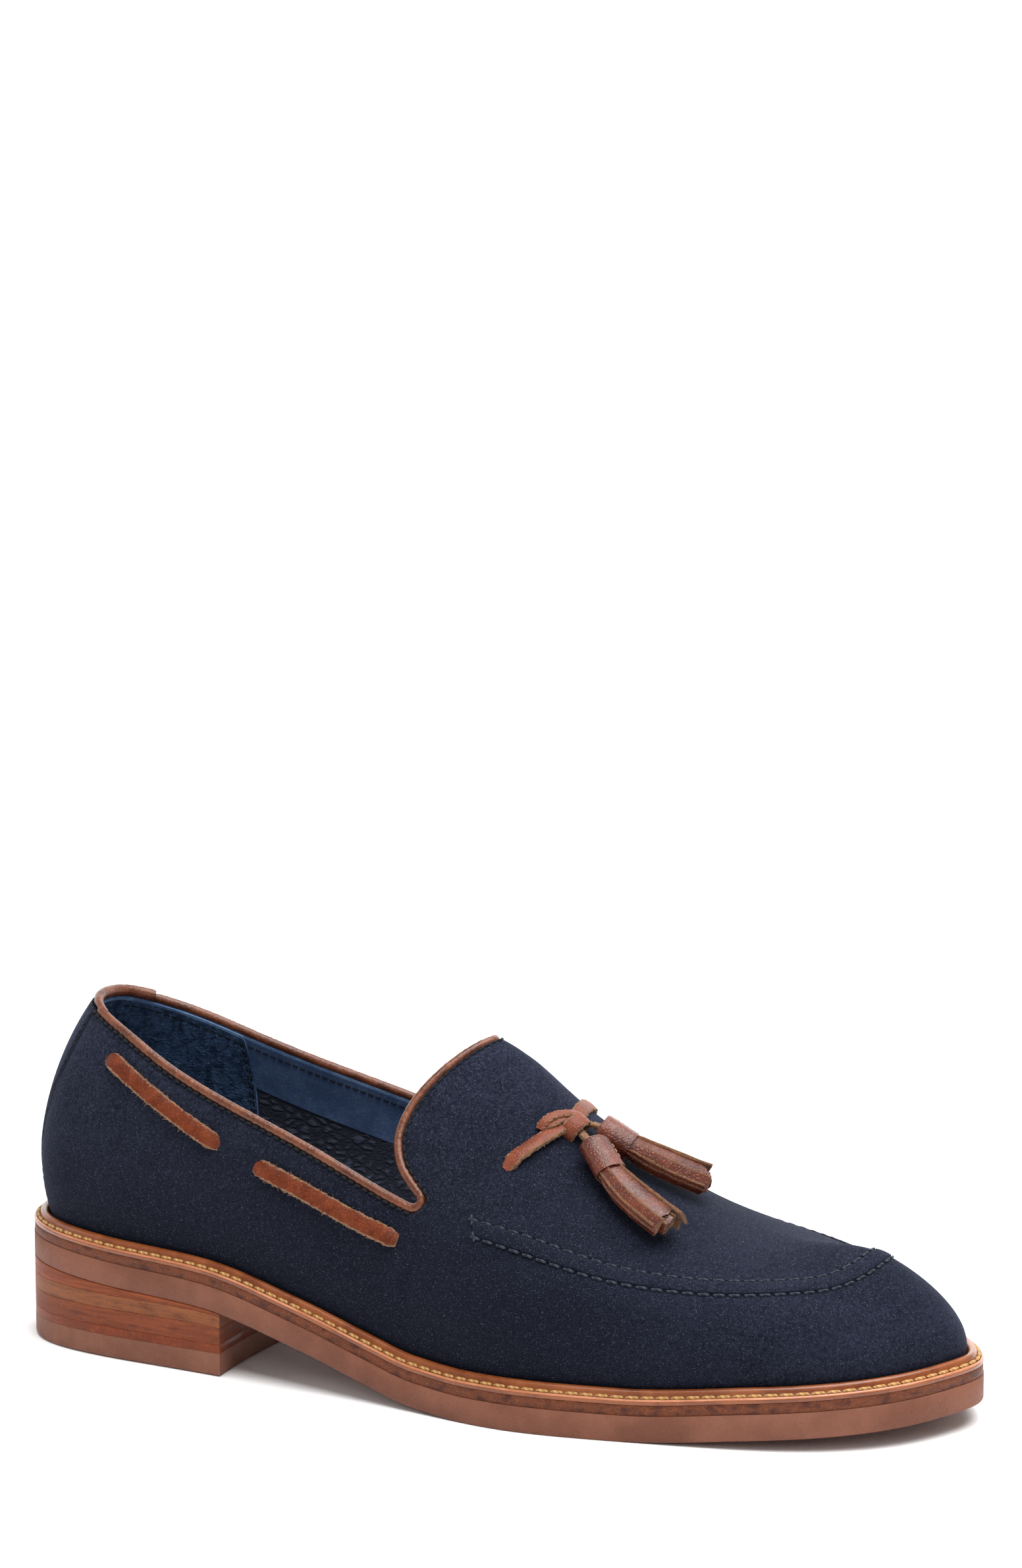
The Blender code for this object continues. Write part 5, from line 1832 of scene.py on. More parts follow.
@dataclass
class Sole:
    """Outsole, midsole, welt and insole, laid over each other round the same edge."""

    sewing: Sewing
    columns: int = 150
    edge: float = 0.0006
    bevel: float = 0.0002
    stitch: Stitch = Stitch(0.0043, 0.90 * 0.0043, 0.00115)

    def layer(
        self, name: str, profile: Rows, node: str, finish: object, slot: str, ring: bool = False,
        *edge: object,
    ) -> None:
        """Lofts a profile round the outline.

        Args:
            name: Name of the piece.
            profile: Insets and heights of its section.
            node: The solid that it replaces.
            finish: Its finish.
            slot: Not used.
            ring: Whether the section closes on itself.
            *edge: The finish of its lip, partly its edge colour and partly a painted highlight.
        """
        shares = sole_shares(self.columns)
        skin = Skin()
        rings = []
        for inset, height in profile:
            ring_points = []
            for share in shares:
                x, y = EDGE.point(share, inset)
                ring_points.append(np.array([x, y, sole_level(float(x)) + height]))
            rings.append(ring_points)
        around = [i / len(shares) * EDGE.round_length * UV_SCALE for i in range(len(shares) + 1)]
        stations = [0.01 * i for i in range(len(rings) + 1)]
        foot = min(height for _, height in profile) + 0.9 * WELT_BED_HEIGHT
        lip = [
            k for k, (inset, height) in enumerate(profile)
            if edge and inset < 0.9 * WELT_LIP and height > foot
        ]
        skin.rings(rings, stations, around, lambda r, k: 1 if r in lip else 0, capped=2 if ring else 1)
        piece = skin.piece(name, finish, *edge, sharp=60.0)
        if not ring:
            split_wide(piece)
        dress(piece, node)

    def build(self) -> None:
        """Builds the layers and sews the welt."""
        e = self.edge
        m = self.bevel
        top = OUTSOLE_THICKNESS
        outsole = (
            (0.004, 0.0), (e, 0.0), (0.3 * e, 0.3 * e), (0.0, e), (0.0, 0.5 * top), (0.0, top - 0.2 * e),
            (0.3 * e, top), (0.004, top),
        )
        self.layer("outsole_rubber", outsole, "outsole", OUTSOLE, "brown_rubber")
        low = MIDSOLE_RISE - CLEARANCE
        high = MIDSOLE_RISE + MIDSOLE_THICKNESS
        midsole = (
            (0.004, low), (2 * m, low), (m, low + m), (m, high - 1.5 * m), (2.0 * m, high), (0.004, high),
        )
        self.layer("midsole_board", midsole, "midsole", MIDSOLE, "midsole_leather")
        base = WELT_RISE - CLEARANCE
        welt = [(inset, base + height) for inset, height in self.welt_section()]
        self.layer("welt_leather", welt, "welt", WELT, "welt_leather", True, WELT_EDGE_AND_HIGHLIGHT)
        inset = WELT_WIDTH + UPPER_WALL + 2.0 * CLEARANCE
        top = WELT_RISE + INSOLE_THICKNESS
        insole = ((inset, WELT_RISE), (inset, top - 0.0008), (inset + 0.0008, top))
        self.layer("insole_sock", insole, "insole", INSOLE, "insole_leather")
        row = []
        for share in np.linspace(0.0, 2.0, 500):
            x, y = EDGE.point(share, 1.2 * self.stitch.thread)
            row.append(np.array([x, y, sole_level(float(x)) + base + WELT_BED_HEIGHT + 0.00022]))
        self.sewing.sew("welt_stitches", [row], GOLD_THREAD, self.stitch)

    def welt_section(self) -> list[tuple[float, float]]:
        """Section of the welt as (inset, height): lip, stitch bed and storm rib.

        Returns:
            Its points.
        """
        foot = WELT_WIDTH
        top = foot - 0.4 * WELT_RIB_HEIGHT
        rib = []
        for turn in np.linspace(0.0, math.pi, 11):
            width = 0.5 * WELT_RIB_WIDTH
            middle = top - width
            height = WELT_RIB_HEIGHT * (0.62 + 0.38 * math.sin(turn) ** 0.8)
            rib.append((middle + width * math.cos(turn), height))
        bed = WELT_BED_HEIGHT
        inner = top - WELT_RIB_WIDTH
        return [
            (foot, 0.0), *rib, (inner - 0.00010, bed + 0.0006), (inner - 0.00025, bed + 0.0001),
            (inner - 0.0005, bed - 0.0001), (
                WELT_LIP + 0.0002, bed - 0.0001,
            ), (WELT_LIP, bed), (0.6 * WELT_LIP, bed + 0.0001),
            (0.25 * WELT_LIP, bed - 0.0001), (0.0, 0.72 * bed), (0.0, 0.35 * bed), (0.25 * WELT_LIP, 0.0),
        ]


@dataclass
class Heel:
    """Leather lifts, a thin layer and the rubber top lift."""

    columns: int = 60
    breast_points: int = 14
    foot_round: float = 0.0012
    joint: float = 0.00012

    def outline(self, inset: float) -> list[Point]:
        """Outline of the heel from the back round the lateral side and the hollow breast.

        Args:
            inset: Metres inward.

        Returns:
            Its points.
        """
        breast = HEEL_LENGTH - 0.5 * LENGTH
        lateral = EDGE.keys >= 0.0
        medial = EDGE.keys <= 0.0
        lateral_end = float(np.interp(breast, EDGE.x[lateral], EDGE.keys[lateral]))
        medial_end = float(np.interp(breast, EDGE.x[medial][::-1], EDGE.keys[medial][::-1]))
        steps = np.linspace(0.0, 1.0, self.columns + 1)
        points = [EDGE.point(t * lateral_end, inset) for t in steps]
        corners = (points[-1], EDGE.point(medial_end, inset))
        for i in range(1, self.breast_points + 1):
            t = i / (self.breast_points + 1)
            point = corners[0] * (1.0 - t) + corners[1] * t
            points.append(point - np.array([4.0 * HEEL_BREAST_HOLLOW * t * (1.0 - t), 0.0]))
        points.extend(EDGE.point(t * medial_end, inset) for t in steps[:0:-1])
        shift = np.array([inset, 0.0])
        return [p - shift * smooth_step((p[0] - breast + 0.012) / 0.012) for p in points]

    def lift(
        self, name: str, node: str, low: Callable[
            [float], float,
        ], high: Callable[[float], float], finish: object,
        slot: str, foot: float, head: float,
    ) -> None:
        """Builds one layer between two levels.

        Args:
            name: Name of the piece.
            node: The solid that it replaces.
            low: Height of its underside at x.
            high: Height of its top at x.
            finish: Its finish.
            slot: Not used.
            foot: Rounding of its lower edge.
            head: Rounding of its upper edge.
        """
        rings = []
        steps = (
            (4.0 * foot + 0.002, low, 0.0), (foot, low, 0.0), (0.3 * foot, low, 0.3 * foot), (0.0, low, foot),
        )
        for inset, level, rise in steps:
            rings.append([np.array([x, y, level(x) + rise]) for x, y in self.outline(inset)])
        for inset, level, rise in ((0.0, high, head), (head, high, 0.0), (0.003, high, 0.0)):
            rings.append([np.array([x, y, level(x) - rise]) for x, y in self.outline(inset)])
        count = len(rings[0])
        skin = Skin()
        skin.rings(
            rings, [0.01 * i for i in range(len(rings))], [0.01 * i for i in range(count + 1)], capped=1,
        )
        piece = skin.piece(name, finish, sharp=40.0)
        split_wide(piece)
        dress(piece, node)

    def build(self) -> None:
        """Builds the stack from the floor up."""
        j = self.joint
        layer_foot = TOP_LIFT_THICKNESS
        layer_top = layer_foot + CLEARANCE + HEEL_LAYER_THICKNESS
        self.lift(
            "top_lift_rubber", "top_lift", lambda x: 0.0, lambda x: layer_foot, TOP_LIFT, "brown_rubber",
            self.foot_round, j,
        )
        self.lift(
            "heel_layer_smooth", "heel_layer", lambda x: layer_foot, lambda x: layer_top, HEEL_LAYER,
            "heel_layer_red", j, j,
        )
        back, breast = LIFTS.values()

        def level(x: float, number: int) -> float:
            """Height of the top of a lift, with -1 for the foot of the stack.

            Args:
                x: Place along the shoe.
                number: Number of the lift.

            Returns:
                The height.
            """
            if number < 0:
                return layer_top
            forward = (x + 0.5 * LENGTH) / HEEL_LENGTH
            share = back[number] + (breast[number] - back[number]) * forward
            return layer_top + share * (sole_level(float(x)) - layer_top)

        for number, finish in enumerate((LIFT_RED, LIFT_TAN, LIFT_DARK)):
            self.lift(
                "heel_lift_leather_%d" % (number + 1), "heel_lift_%d" % (number + 1),
                lambda x, n=number: level(
                    x, n - 1,
                ), lambda x, n=number: level(x, n), finish, "lift_leather", j, j,
            )


@dataclass
class Upper:
    """The suede shell with its raised band and backstay, its linings and its seams."""

    sewing: Sewing
    rear_columns: int = 84
    fillet_columns: int = 10
    gap_columns: int = 12
    front_columns: int = 70
    wall_rows: int = 30
    crown_rows: int = 24
    lining: float = 0.0005
    grip: float = 0.0008
    band_depth: float = 0.0160
    grip_front: float = 0.178
    grip_slant: float = 5.3
    apron_stitch: Stitch = Stitch(0.0043, 0.0035, 0.00095)
    topline_stitch: Stitch = Stitch(0.0026, 0.0021, 0.0009)
    lining_stitch: Stitch = Stitch(0.0026, 0.0020, 0.00055)
    backstay_stitch: Stitch = Stitch(0.0026, 0.0021, 0.0006)

    def shares(self) -> Point:
        """Signed shares of the columns, from the toe tip round the heel to the toe again.

        Returns:
            The shares.
        """
        step = STEP_WIDTH / LENGTH
        stay = BACKSTAY_HALF_WIDTH / LENGTH
        bend = THROAT_ROUND - SHAPE.fillet
        rear = stay + step + (bend - stay - step) * np.linspace(0.0, 1.0, self.rear_columns + 1) ** 1.15
        corner = np.linspace(bend, THROAT_ROUND, self.fillet_columns + 1)
        gap = np.linspace(THROAT_ROUND, BAND_START - step, self.gap_columns)
        t = np.linspace(0.0, 1.0, self.front_columns + 1)
        front = BAND_START + (1.0 - BAND_START) * (t + 0.08 * np.sin(math.pi * t))
        inner = np.linspace(0.0, stay, 6)
        after, before = [stay + 0.5 * step], [BAND_START - 0.5 * step]
        side = np.concatenate([inner, after, rear, corner[1:], gap[1:], before, front])
        return np.concatenate([-side[:0:-1], side[:-1]])

    def crown_steps(self, share: float) -> Point:
        """Rows of the crown at a column: over the apron band, then on to the ridge.

        Args:
            share: Signed share round the shoe.

        Returns:
            Climbs past the line.
        """
        size = crown_size(share)
        band = BAND_WIDTH / size
        step = STEP_WIDTH / size
        rest = band + (1.0 - band) * np.linspace(0.0, 1.0, self.crown_rows + 1) ** 1.25
        first = [0.0, 0.5 * step, step, 0.25 * band, 0.5 * band, 0.75 * band, band - step, band - 0.5 * step]
        return np.concatenate([first, rest])

    def relief(self, share: float, climb: float, step: float) -> float:
        """Height of the overlays over the bare last.

        Args:
            share: Signed share round the shoe.
            climb: Climb of the point.
            step: Share of the crown that a step takes there.

        Returns:
            Metres off the surface.
        """
        size = abs(share)
        width = STEP_WIDTH / LENGTH
        if climb <= 1.0:
            stay = backstay_edge(climb)
            return BACKSTAY_RAISE * (1.0 - smooth_step((size - stay) / width))
        band = BAND_WIDTH / STEP_WIDTH * step
        rise = smooth_step((climb - 1.0) / step) * (1.0 - smooth_step((climb - 1.0 - band + step) / step))
        middle = math.sin(math.pi * min(1.0, (climb - 1.0) / band)) if climb - 1.0 < band else 0.0
        return (BAND_RAISE * rise + 0.0002 * middle) * smooth_step((size - BAND_START + width) / width)

    def creases(self) -> list[tuple]:
        """Middle, directions and sizes of each soft trough or swell.

        Returns:
            One row for each.
        """
        found = []
        for share, climb, half_long, half_high, turn, depth in CREASES:
            middle = SHAPE.point(share, climb)
            out = SHAPE.normal(share, climb)
            ahead = unit(SHAPE.point(share + math.copysign(0.004, share), climb) - middle)
            up = unit(np.cross(out, ahead))
            angle = math.radians(turn)
            along = ahead * math.cos(angle) + up * math.sin(angle)
            across = up * math.cos(angle) - ahead * math.sin(angle)
            found.append((middle, out, along, across, half_long, half_high, depth))
        return found

    def shell(self) -> bpy.types.Object:
        """The shell: its outer surface from the last, and a wall inside it.

        Returns:
            The piece.
        """
        shares = self.shares()
        count = len(shares)
        folds = self.creases()
        skin = Skin()
        index: dict[tuple, int] = {}
        travel: dict[tuple, float] = {}

        def add(key: tuple, share: float, climb: float, step: float, distance: float) -> None:
            """Keeps the point of a column and row.

            Args:
                key: Column and row.
                share: Signed share round the shoe.
                climb: Climb of the point.
                step: Share of the crown that a step takes.
                distance: Metres over the surface from the line.
            """
            point = SHAPE.point(share, climb)
            rise = self.relief(share, climb, step)
            for middle, out, along, across, half_long, half_high, depth in folds:
                gap = point - middle
                if np.dot(gap, gap) < 0.0036:
                    a = np.dot(gap, along) / half_long
                    b = np.dot(gap, across) / half_high
                    if a * a + b * b < 9.0:
                        rise += depth * math.exp(-a * a - b * b)
            if abs(rise) > 1e-7:
                point = point + SHAPE.normal(share, climb) * rise
            index[key] = len(skin.points)
            travel[key] = UV_SCALE * distance
            skin.points.append(point)

        wall = np.linspace(0.0, 1.0, self.wall_rows + 1)
        for c, share in enumerate(shares):
            points = [SHAPE.point(share, t) for t in wall]
            lengths = walk(points)
            for r, t in enumerate(wall):
                add((c, r), share, t, 1.0, float(lengths[r] - lengths[-1]))
        front = [c for c in range(count) if abs(shares[c]) > THROAT_ROUND - 1e-6]
        last = self.wall_rows
        top = len(self.crown_steps(1.0)) - 1
        for c in front:
            share = shares[c]
            steps = self.crown_steps(share)
            lengths = walk([SHAPE.point(share, 1.0 + t) for t in steps])
            scale = STEP_WIDTH / crown_size(share)
            for r in range(1, top + 1):
                key = (c, last + r)
                if r == top and share > 0.0:
                    travel[key] = UV_SCALE * float(lengths[r])
                else:
                    add(key, share, 1.0 + steps[r], scale, float(lengths[r]))
        for c in front:
            if shares[c] > 0.0:
                twin = int(np.argmin(np.abs(shares + shares[c])))
                index[(c, last + top)] = index[(twin, last + top)]
        for c in range(count):
            k = (c + 1) % count
            ends = (float(shares[c]), float(shares[k]))
            if k == 0:
                ends = (ends[0], 1.0)
            rows = last + top if c in front and k in front else last
            for r in range(rows):
                keys = ((c, r), (k, r), (k, r + 1), (c, r + 1))
                turns = (ends[0], ends[1], ends[1], ends[0])
                skin.face(
                    [index[key] for key in keys], [(turn, travel[key]) for turn, key in zip(turns, keys)],
                )
        piece = skin.piece("suede_upper", SUEDE, QUARTER_LINING, sharp=70.0)
        wall_maker = piece.modifiers.new("wall", "SOLIDIFY")
        wall_maker.thickness = UPPER_WALL
        wall_maker.offset = -1.0
        wall_maker.material_offset = 1
        return dress(settle(piece), "upper")

    def inside(self, share: float, below: float, depth: float) -> Point:
        """Point inside the wall, a distance below the collar line and a depth under the surface.

        Args:
            share: Signed share round the shoe.
            below: Metres below the collar line.
            depth: Metres under the surface.

        Returns:
            The point.
        """
        if below <= 0.0:
            out = SHAPE.normal(share, 1.0)
            return SHAPE.point(share, 1.0) - below * SHAPE.lean_direction(share) - depth * out
        return SHAPE.inner(share, SHAPE.climb_at(share, -below), depth)

    def sheet(
        self, name: str, shares: Point, belows: Callable[
            [float], Point,
        ], depth: float, thickness: float, slant: float,
        *finishes: object,
    ) -> bpy.types.Object:
        """A lining sheet inside the wall, closed at all its edges.

        Args:
            name: Name of the piece.
            shares: Signed shares of its columns.
            belows: Distances of its rows below the collar line at a share.
            depth: Depth of its outer face.
            thickness: Its thickness.
            slant: How much it widens with each metre below the collar line.
            *finishes: Finishes of its face and its edges.

        Returns:
            The piece.
        """
        rings = []
        for share in shares:
            rows = belows(float(share))
            turns = [float(share) * (1.0 + slant * max(0.0, float(b))) for b in rows]
            shown = [self.inside(t, float(b), depth + thickness) for t, b in zip(turns, rows)]
            hidden = [self.inside(t, float(b), depth) for t, b in zip(turns[::-1], rows[::-1])]
            rings.append(shown + hidden)
        size = len(rings[0])
        half = size // 2
        skin = Skin()
        skin.rings(
            rings, [float(s) for s in shares], [0.01 * i for i in range(size + 1)],
            lambda ring, side: 1 if side in (half - 1, size - 1, -1) or side == 0 else 0, capped=1,
        )
        return dress(skin.piece(name, *finishes, sharp=60.0))

    def linings(self) -> None:
        """Heel grip and topline band inside the collar."""
        grip = np.linspace(-self.grip_front, self.grip_front, 90)
        top = -0.0004

        def grip_rows(share: float) -> Point:
            """Rows of the grip from the topline to the insole."""
            height = -SHAPE.travel(share, 0.0, 20) - 0.004
            return np.concatenate([[top, top + 0.0009], np.linspace(0.002, height, 20)])

        self.sheet(
            "heel_grip", grip, grip_rows, UPPER_WALL + 0.0001, self.grip, self.grip_slant, GRIP_SUEDE,
            LINING_EDGE,
        )
        band = np.concatenate([[top, top + 0.0009], np.linspace(0.002, self.band_depth, 12)])
        for side, word in ((1.0, "lateral"), (-1.0, "medial")):
            shares = side * np.linspace(self.grip_front - 0.012, THROAT_ROUND - 0.002, 60)
            name = "topline_lining_%s" % word
            self.sheet(
                name, shares, lambda share: band, UPPER_WALL - 0.0001, self.lining, 0.0, BAND_LINING,
                LINING_EDGE,
            )

    def over(self, share: float, distance: float, lift: float) -> Point:
        """Point off the suede at a distance over it from the line."""
        climb = SHAPE.climb_at(share, distance)
        return SHAPE.point(share, climb) + SHAPE.normal(share, climb) * lift

    def seams(self) -> None:
        """Sews the apron, the topline, the linings and the backstay."""
        shares = np.linspace(BAND_START, 1.0, 120)
        ring = np.concatenate([shares, -shares[-2::-1]])
        outer = [self.over(s, -0.0001, 0.00018) for s in ring]
        inner = [self.over(s, BAND_WIDTH + 0.0001, 0.00018) for s in ring]
        cross = []
        for side in (1.0, -1.0):
            begin = side * (BAND_START - 0.0015)
            cross.append([self.over(begin, d, 0.0002) for d in np.linspace(0.0002, BAND_WIDTH, 8)])
        self.sewing.sew("apron_stitches", [outer, inner, *cross], NAVY_THREAD, self.apron_stitch)
        round_heel = np.linspace(-THROAT_ROUND + SHAPE.fillet, THROAT_ROUND - SHAPE.fillet, 260)
        topline = [[self.over(s, -0.0002, 0.0001) for s in round_heel]]
        for side in (1.0, -1.0):
            edge = []
            for climb in np.linspace(1.04, 1.99, 50):
                share = side * (THROAT_ROUND + 0.0022)
                edge.append(SHAPE.point(share, climb) + SHAPE.normal(share, climb) * 0.00005)
            topline.append(edge)
        self.sewing.sew("topline_stitches", topline, DARK_THREAD, self.topline_stitch)
        lining = []
        for side in (1.0, -1.0):
            run = side * np.linspace(0.04, THROAT_ROUND - 0.006, 120)
            sheets = [self.grip if abs(s) < self.grip_front else self.lining for s in run]
            depths = [UPPER_WALL + sheet + 0.0001 for sheet in sheets]
            lining.append([self.inside(float(s), 0.0026, d) for s, d in zip(run, depths)])
            for back in (0.0034, 0.0068):
                depth = UPPER_WALL + self.grip + 0.0001
                row = []
                for below in np.linspace(0.003, 0.040, 30):
                    share = side * (self.grip_front * (1.0 + self.grip_slant * below) - back)
                    row.append(self.inside(share, float(below), depth))
                lining.append(row)
        self.sewing.sew("lining_stitches", lining, DARK_THREAD, self.lining_stitch)
        rows = []
        for side in (1.0, -1.0):
            places = [(side * (backstay_edge(c) + 0.0012), c) for c in np.linspace(0.03, 0.985, 60)]
            rows.append([over_upper(share, climb, 0.0001)[0] for share, climb in places])
        self.sewing.sew("backstay_stitches", rows, DARK_THREAD, self.backstay_stitch)

    def build(self) -> None:
        """Builds the shell, linings and seams."""
        self.shell()
        self.linings()
        self.seams()


@dataclass
class Edging:
    """Round piping along the collar and the throat, and the thicker binding over the heel."""

    sides: int = 20
    sink: float = 0.0005
    wrinkle: float = 0.00014
    binding: float = 0.00185
    medial_end: float = 0.073

    def rim_point(self, share: float, climb: float, radius: float) -> Point:
        """Centre of the edging on the rim.

        Args:
            share: Signed share round the shoe.
            climb: 1 on the collar, and up to 2 along the throat.
            radius: Radius of the edging.

        Returns:
            The centre.
        """
        near = SHAPE.NEAR
        point = SHAPE.point(share, climb)
        out = SHAPE.normal(share, climb)
        if climb > 1.0:
            edge = SHAPE.point(share, min(2.0, climb + near)) - SHAPE.point(share, climb - near)
            away = point - SHAPE.point(share + math.copysign(near, share), climb)
        else:
            step = 0.2 * near
            side = math.copysign(1.0, share)
            ahead = min(abs(share) + step, THROAT_ROUND)
            edge = SHAPE.point(side * ahead, climb) - SHAPE.point(side * (abs(share) - step), climb)
            away = point - SHAPE.point(share, climb - near)
        edge = unit(edge)
        away = away - np.dot(away, edge) * edge
        away = unit(away - np.dot(away, out) * out)
        return point - 0.5 * UPPER_WALL * out + (radius + RIM_CLEARANCE - self.sink) * away

    def even(self, points: Sequence[Point], spacing: float) -> Point:
        """The same path with evenly spaced, lightly smoothed points.

        Args:
            points: The path.
            spacing: Metres between points.

        Returns:
            The new path.
        """
        row = np.array(points)
        travel = walk(row)
        count = max(8, int(travel[-1] / spacing))
        places = np.linspace(0.0, travel[-1], count)
        even = np.stack([np.interp(places, travel, row[:, k]) for k in range(3)], axis=1)
        for _ in range(3):
            even[1:-1] = 0.25 * even[:-2] + 0.5 * even[1:-1] + 0.25 * even[2:]
        return even

    def tube(
        self, name: str, node: str, points: Point, radius: float, finish: object,
        tight: Sequence[Point], narrow: float = 0.0,
    ) -> None:
        """Sweeps a slightly wrinkled round section along a path.

        Args:
            name: Name of the piece.
            node: The solid that it replaces.
            points: The path.
            radius: Its radius.
            finish: Its finish.
            tight: Places where it bends tightly and wrinkles.
            narrow: How much its radius shrinks towards the last end.
        """
        travel = walk(points)
        ways = directions(points)
        rings = []
        random = np.random.default_rng(11)
        for i, (point, way) in enumerate(zip(points, ways)):
            side = unit(np.cross(way, np.array([0.0, 0.0, 1.0])))
            rise = np.cross(side, way)
            near = max([math.exp(-float(np.dot(point - t, point - t)) / 0.008 ** 2) for t in tight] or [0.0])
            wave = self.wrinkle * near * math.sin(travel[i] * 4200.0 + 2.0 * math.sin(travel[i] * 900.0))
            wave += 0.25 * self.wrinkle * random.normal()
            ends = min(travel[i], travel[-1] - travel[i]) / 0.0008
            size = radius + wave - narrow * smooth_step(2.0 * travel[i] / travel[-1] - 1.0)
            size = size * (0.90 + 0.10 * smooth_step(ends))
            rings.append([
                point + size * (math.cos(a) * side + math.sin(a) * rise)
                for a in np.linspace(0.0, 2.0 * math.pi, self.sides, endpoint=False)
            ])
        skin = Skin()
        around = [i / self.sides * 0.1 for i in range(self.sides + 1)]
        skin.rings(rings, [UV_SCALE * float(t) for t in travel], around, capped=1)
        dress(skin.piece(name, finish, sharp=60.0), node)

    def build(self) -> None:
        """Builds the piping and the heel binding."""
        bend = THROAT_ROUND - SHAPE.fillet
        climbs = np.linspace(1.0, 2.0, 46)
        path: list[Point] = []
        tips = []
        for side, start in ((1.0, BINDING_LATERAL - 0.012), (-1.0, self.medial_end)):
            shares = np.concatenate([np.linspace(start, bend, 90), np.linspace(bend, THROAT_ROUND, 8)[1:]])
            run = [self.rim_point(side * float(s), 1.0, PIPING_RADIUS) for s in shares]
            run += [self.rim_point(side * THROAT_ROUND, float(c), PIPING_RADIUS) for c in climbs[3:]]
            tips.append(self.rim_point(side * THROAT_ROUND, 1.0, PIPING_RADIUS))
            path += run if side > 0.0 else run[-2::-1]
        points = self.even(path, 0.0006)
        self.tube(
            "collar_piping_leather", "collar_piping", points, PIPING_RADIUS, PIPING, tips,
        )
        shares = np.linspace(-self.medial_end, BINDING_LATERAL, 70)
        points = self.even([self.rim_point(float(s), 1.0, BINDING_RADIUS) for s in shares], 0.0012)
        narrow = self.binding - PIPING_RADIUS + 0.0003
        self.tube(
            "heel_binding_leather", "heel_binding", points, self.binding, PIPING, [], narrow,
        )


@dataclass
class Strip:
    """A cut leather strip: a domed smooth face and ragged raw edges."""

    width: float
    thickness: float
    dome: float = 0.22
    ragged: float = 0.00016
    seed: int = 3
    flesh: bool = False

    def section(self) -> list[tuple[float, float]]:
        """Outline as shares of the width and the thickness, from the lower left round the top.

        Returns:
            Its points.
        """
        face = []
        for turn in np.linspace(-0.42, 0.42, 9):
            face.append((float(turn), 1.0 - self.dome * (2.0 * float(turn)) ** 2))
        left = [(-0.46, 0.0), (-0.5, 0.25), (-0.5, 0.5), (-0.485, 0.70)]
        right = [(0.485, 0.70), (0.5, 0.5), (0.5, 0.25), (0.46, 0.0)]
        return left + face + right

    def skin(
        self, centres: Sequence[Point], ups: Sequence[Point], widths: Sequence[float],
        heights: Sequence[float], shifts: Sequence[Callable[[float], float]] | None = None,
    ) -> Skin:
        """Lofts the strip.

        Args:
            centres: Points along its underside.
            ups: Direction off the surface at each.
            widths: Share of the width at each.
            heights: Share of the thickness at each.
            shifts: How far a point is moved along the strip by its place across, at each end.

        Returns:
            The skin, with finish 0 on the face and 1 on the edges and the underside.
        """
        outline = self.section()
        random = np.random.default_rng(self.seed)
        ways = directions(centres)
        rings = []
        total = len(centres)
        for i, (centre, way, up) in enumerate(zip(centres, ways, ups)):
            side = unit(np.cross(way, up))
            rise = np.cross(side, way)
            ring = []
            for a, b in outline:
                raw = 1.0 if b < 0.9 and abs(a) > 0.4 else 0.0
                loose = random.normal(0.0, self.ragged, 2) * raw
                spread = a * self.width * widths[i] + loose[0]
                height = b * self.thickness * heights[i] + 0.5 * loose[1]
                along = 0.0
                if shifts is not None and i in (0, total - 1):
                    along = shifts[0 if i == 0 else 1](a)
                ring.append(centre + spread * side + height * rise + along * way)
            rings.append(ring)
        travel = walk(centres)
        skin = Skin()
        around = [UV_SCALE * self.width * i / len(outline) for i in range(len(outline) + 1)]
        plain = 1 if self.flesh else 0
        skin.rings(
            rings, [UV_SCALE * float(t) for t in travel], around,
            lambda ring, side: plain if 4 <= side <= 11 else 1, capped=1,
        )
        return skin

    def edges(self, centres: Sequence[Point], ups: Sequence[Point], low: float = 0.3) -> list[list[Point]]:
        """Rows of points along the two raw edges.

        Args:
            centres: Points along its underside.
            ups: Direction off the surface at each.
            low: Height of the rows as a share of the thickness.

        Returns:
            The two rows.
        """
        rows: list[list[Point]] = [[], []]
        for centre, way, up in zip(centres, directions(centres), ups):
            side = unit(np.cross(way, up))
            rise = np.cross(side, way)
            for row, a in zip(rows, (-0.5, 0.5)):
                row.append(centre + a * self.width * side + low * self.thickness * rise)
        return rows


@dataclass
class SideLaces:
    """The side laces where they lie between their slots."""

    sewing: Sewing
    width: float = 0.0052
    thickness: float = 0.0017
    stations: int = 70
    upright: float = 0.38
    sink: float = 0.0003
    dive: float = 0.0015
    dive_length: float = 0.0042
    pinch: float = 0.62
    pinch_length: float = 0.0030

    def build(self) -> None:
        """Builds the four laces and their loose fibres."""
        fringe = []
        seed = 20
        for place, rows in (("rear", SIDE_LACE_REAR), ("front", SIDE_LACE_FRONT)):
            for side, word in ((1.0, "lateral"), (-1.0, "medial")):
                seed += 1
                centres, ups = path_over_upper(rows, self.stations, side)
                travel = walk(centres)
                total = travel[-1]
                ups = [unit(up + np.array([0.0, 0.0, self.upright])) for up in ups]
                shaped = []
                widths = []
                for centre, up, at in zip(centres, ups, travel):
                    end = min(at, total - at)
                    dive = 1.0 - smooth_step(end / self.dive_length)
                    shaped.append(centre - up * (self.sink + self.dive * dive))
                    full = math.sqrt(smooth_step(end / self.pinch_length))
                    widths.append(self.pinch + (1.0 - self.pinch) * full)
                strip = Strip(self.width, self.thickness, seed=seed)
                skin = strip.skin(shaped, ups, widths, [1.0] * len(shaped))
                node = "side_lace_%s_%s" % (word, place)
                dress(skin.piece(node + "_leather", LACE, RAW), node)
                fringe += [row[6:-6] for row in strip.edges(shaped, ups, 0.35)]
        self.sewing.fray("lace_fibres", fringe, 0.00042, 0.0014, 5, 0.00006)


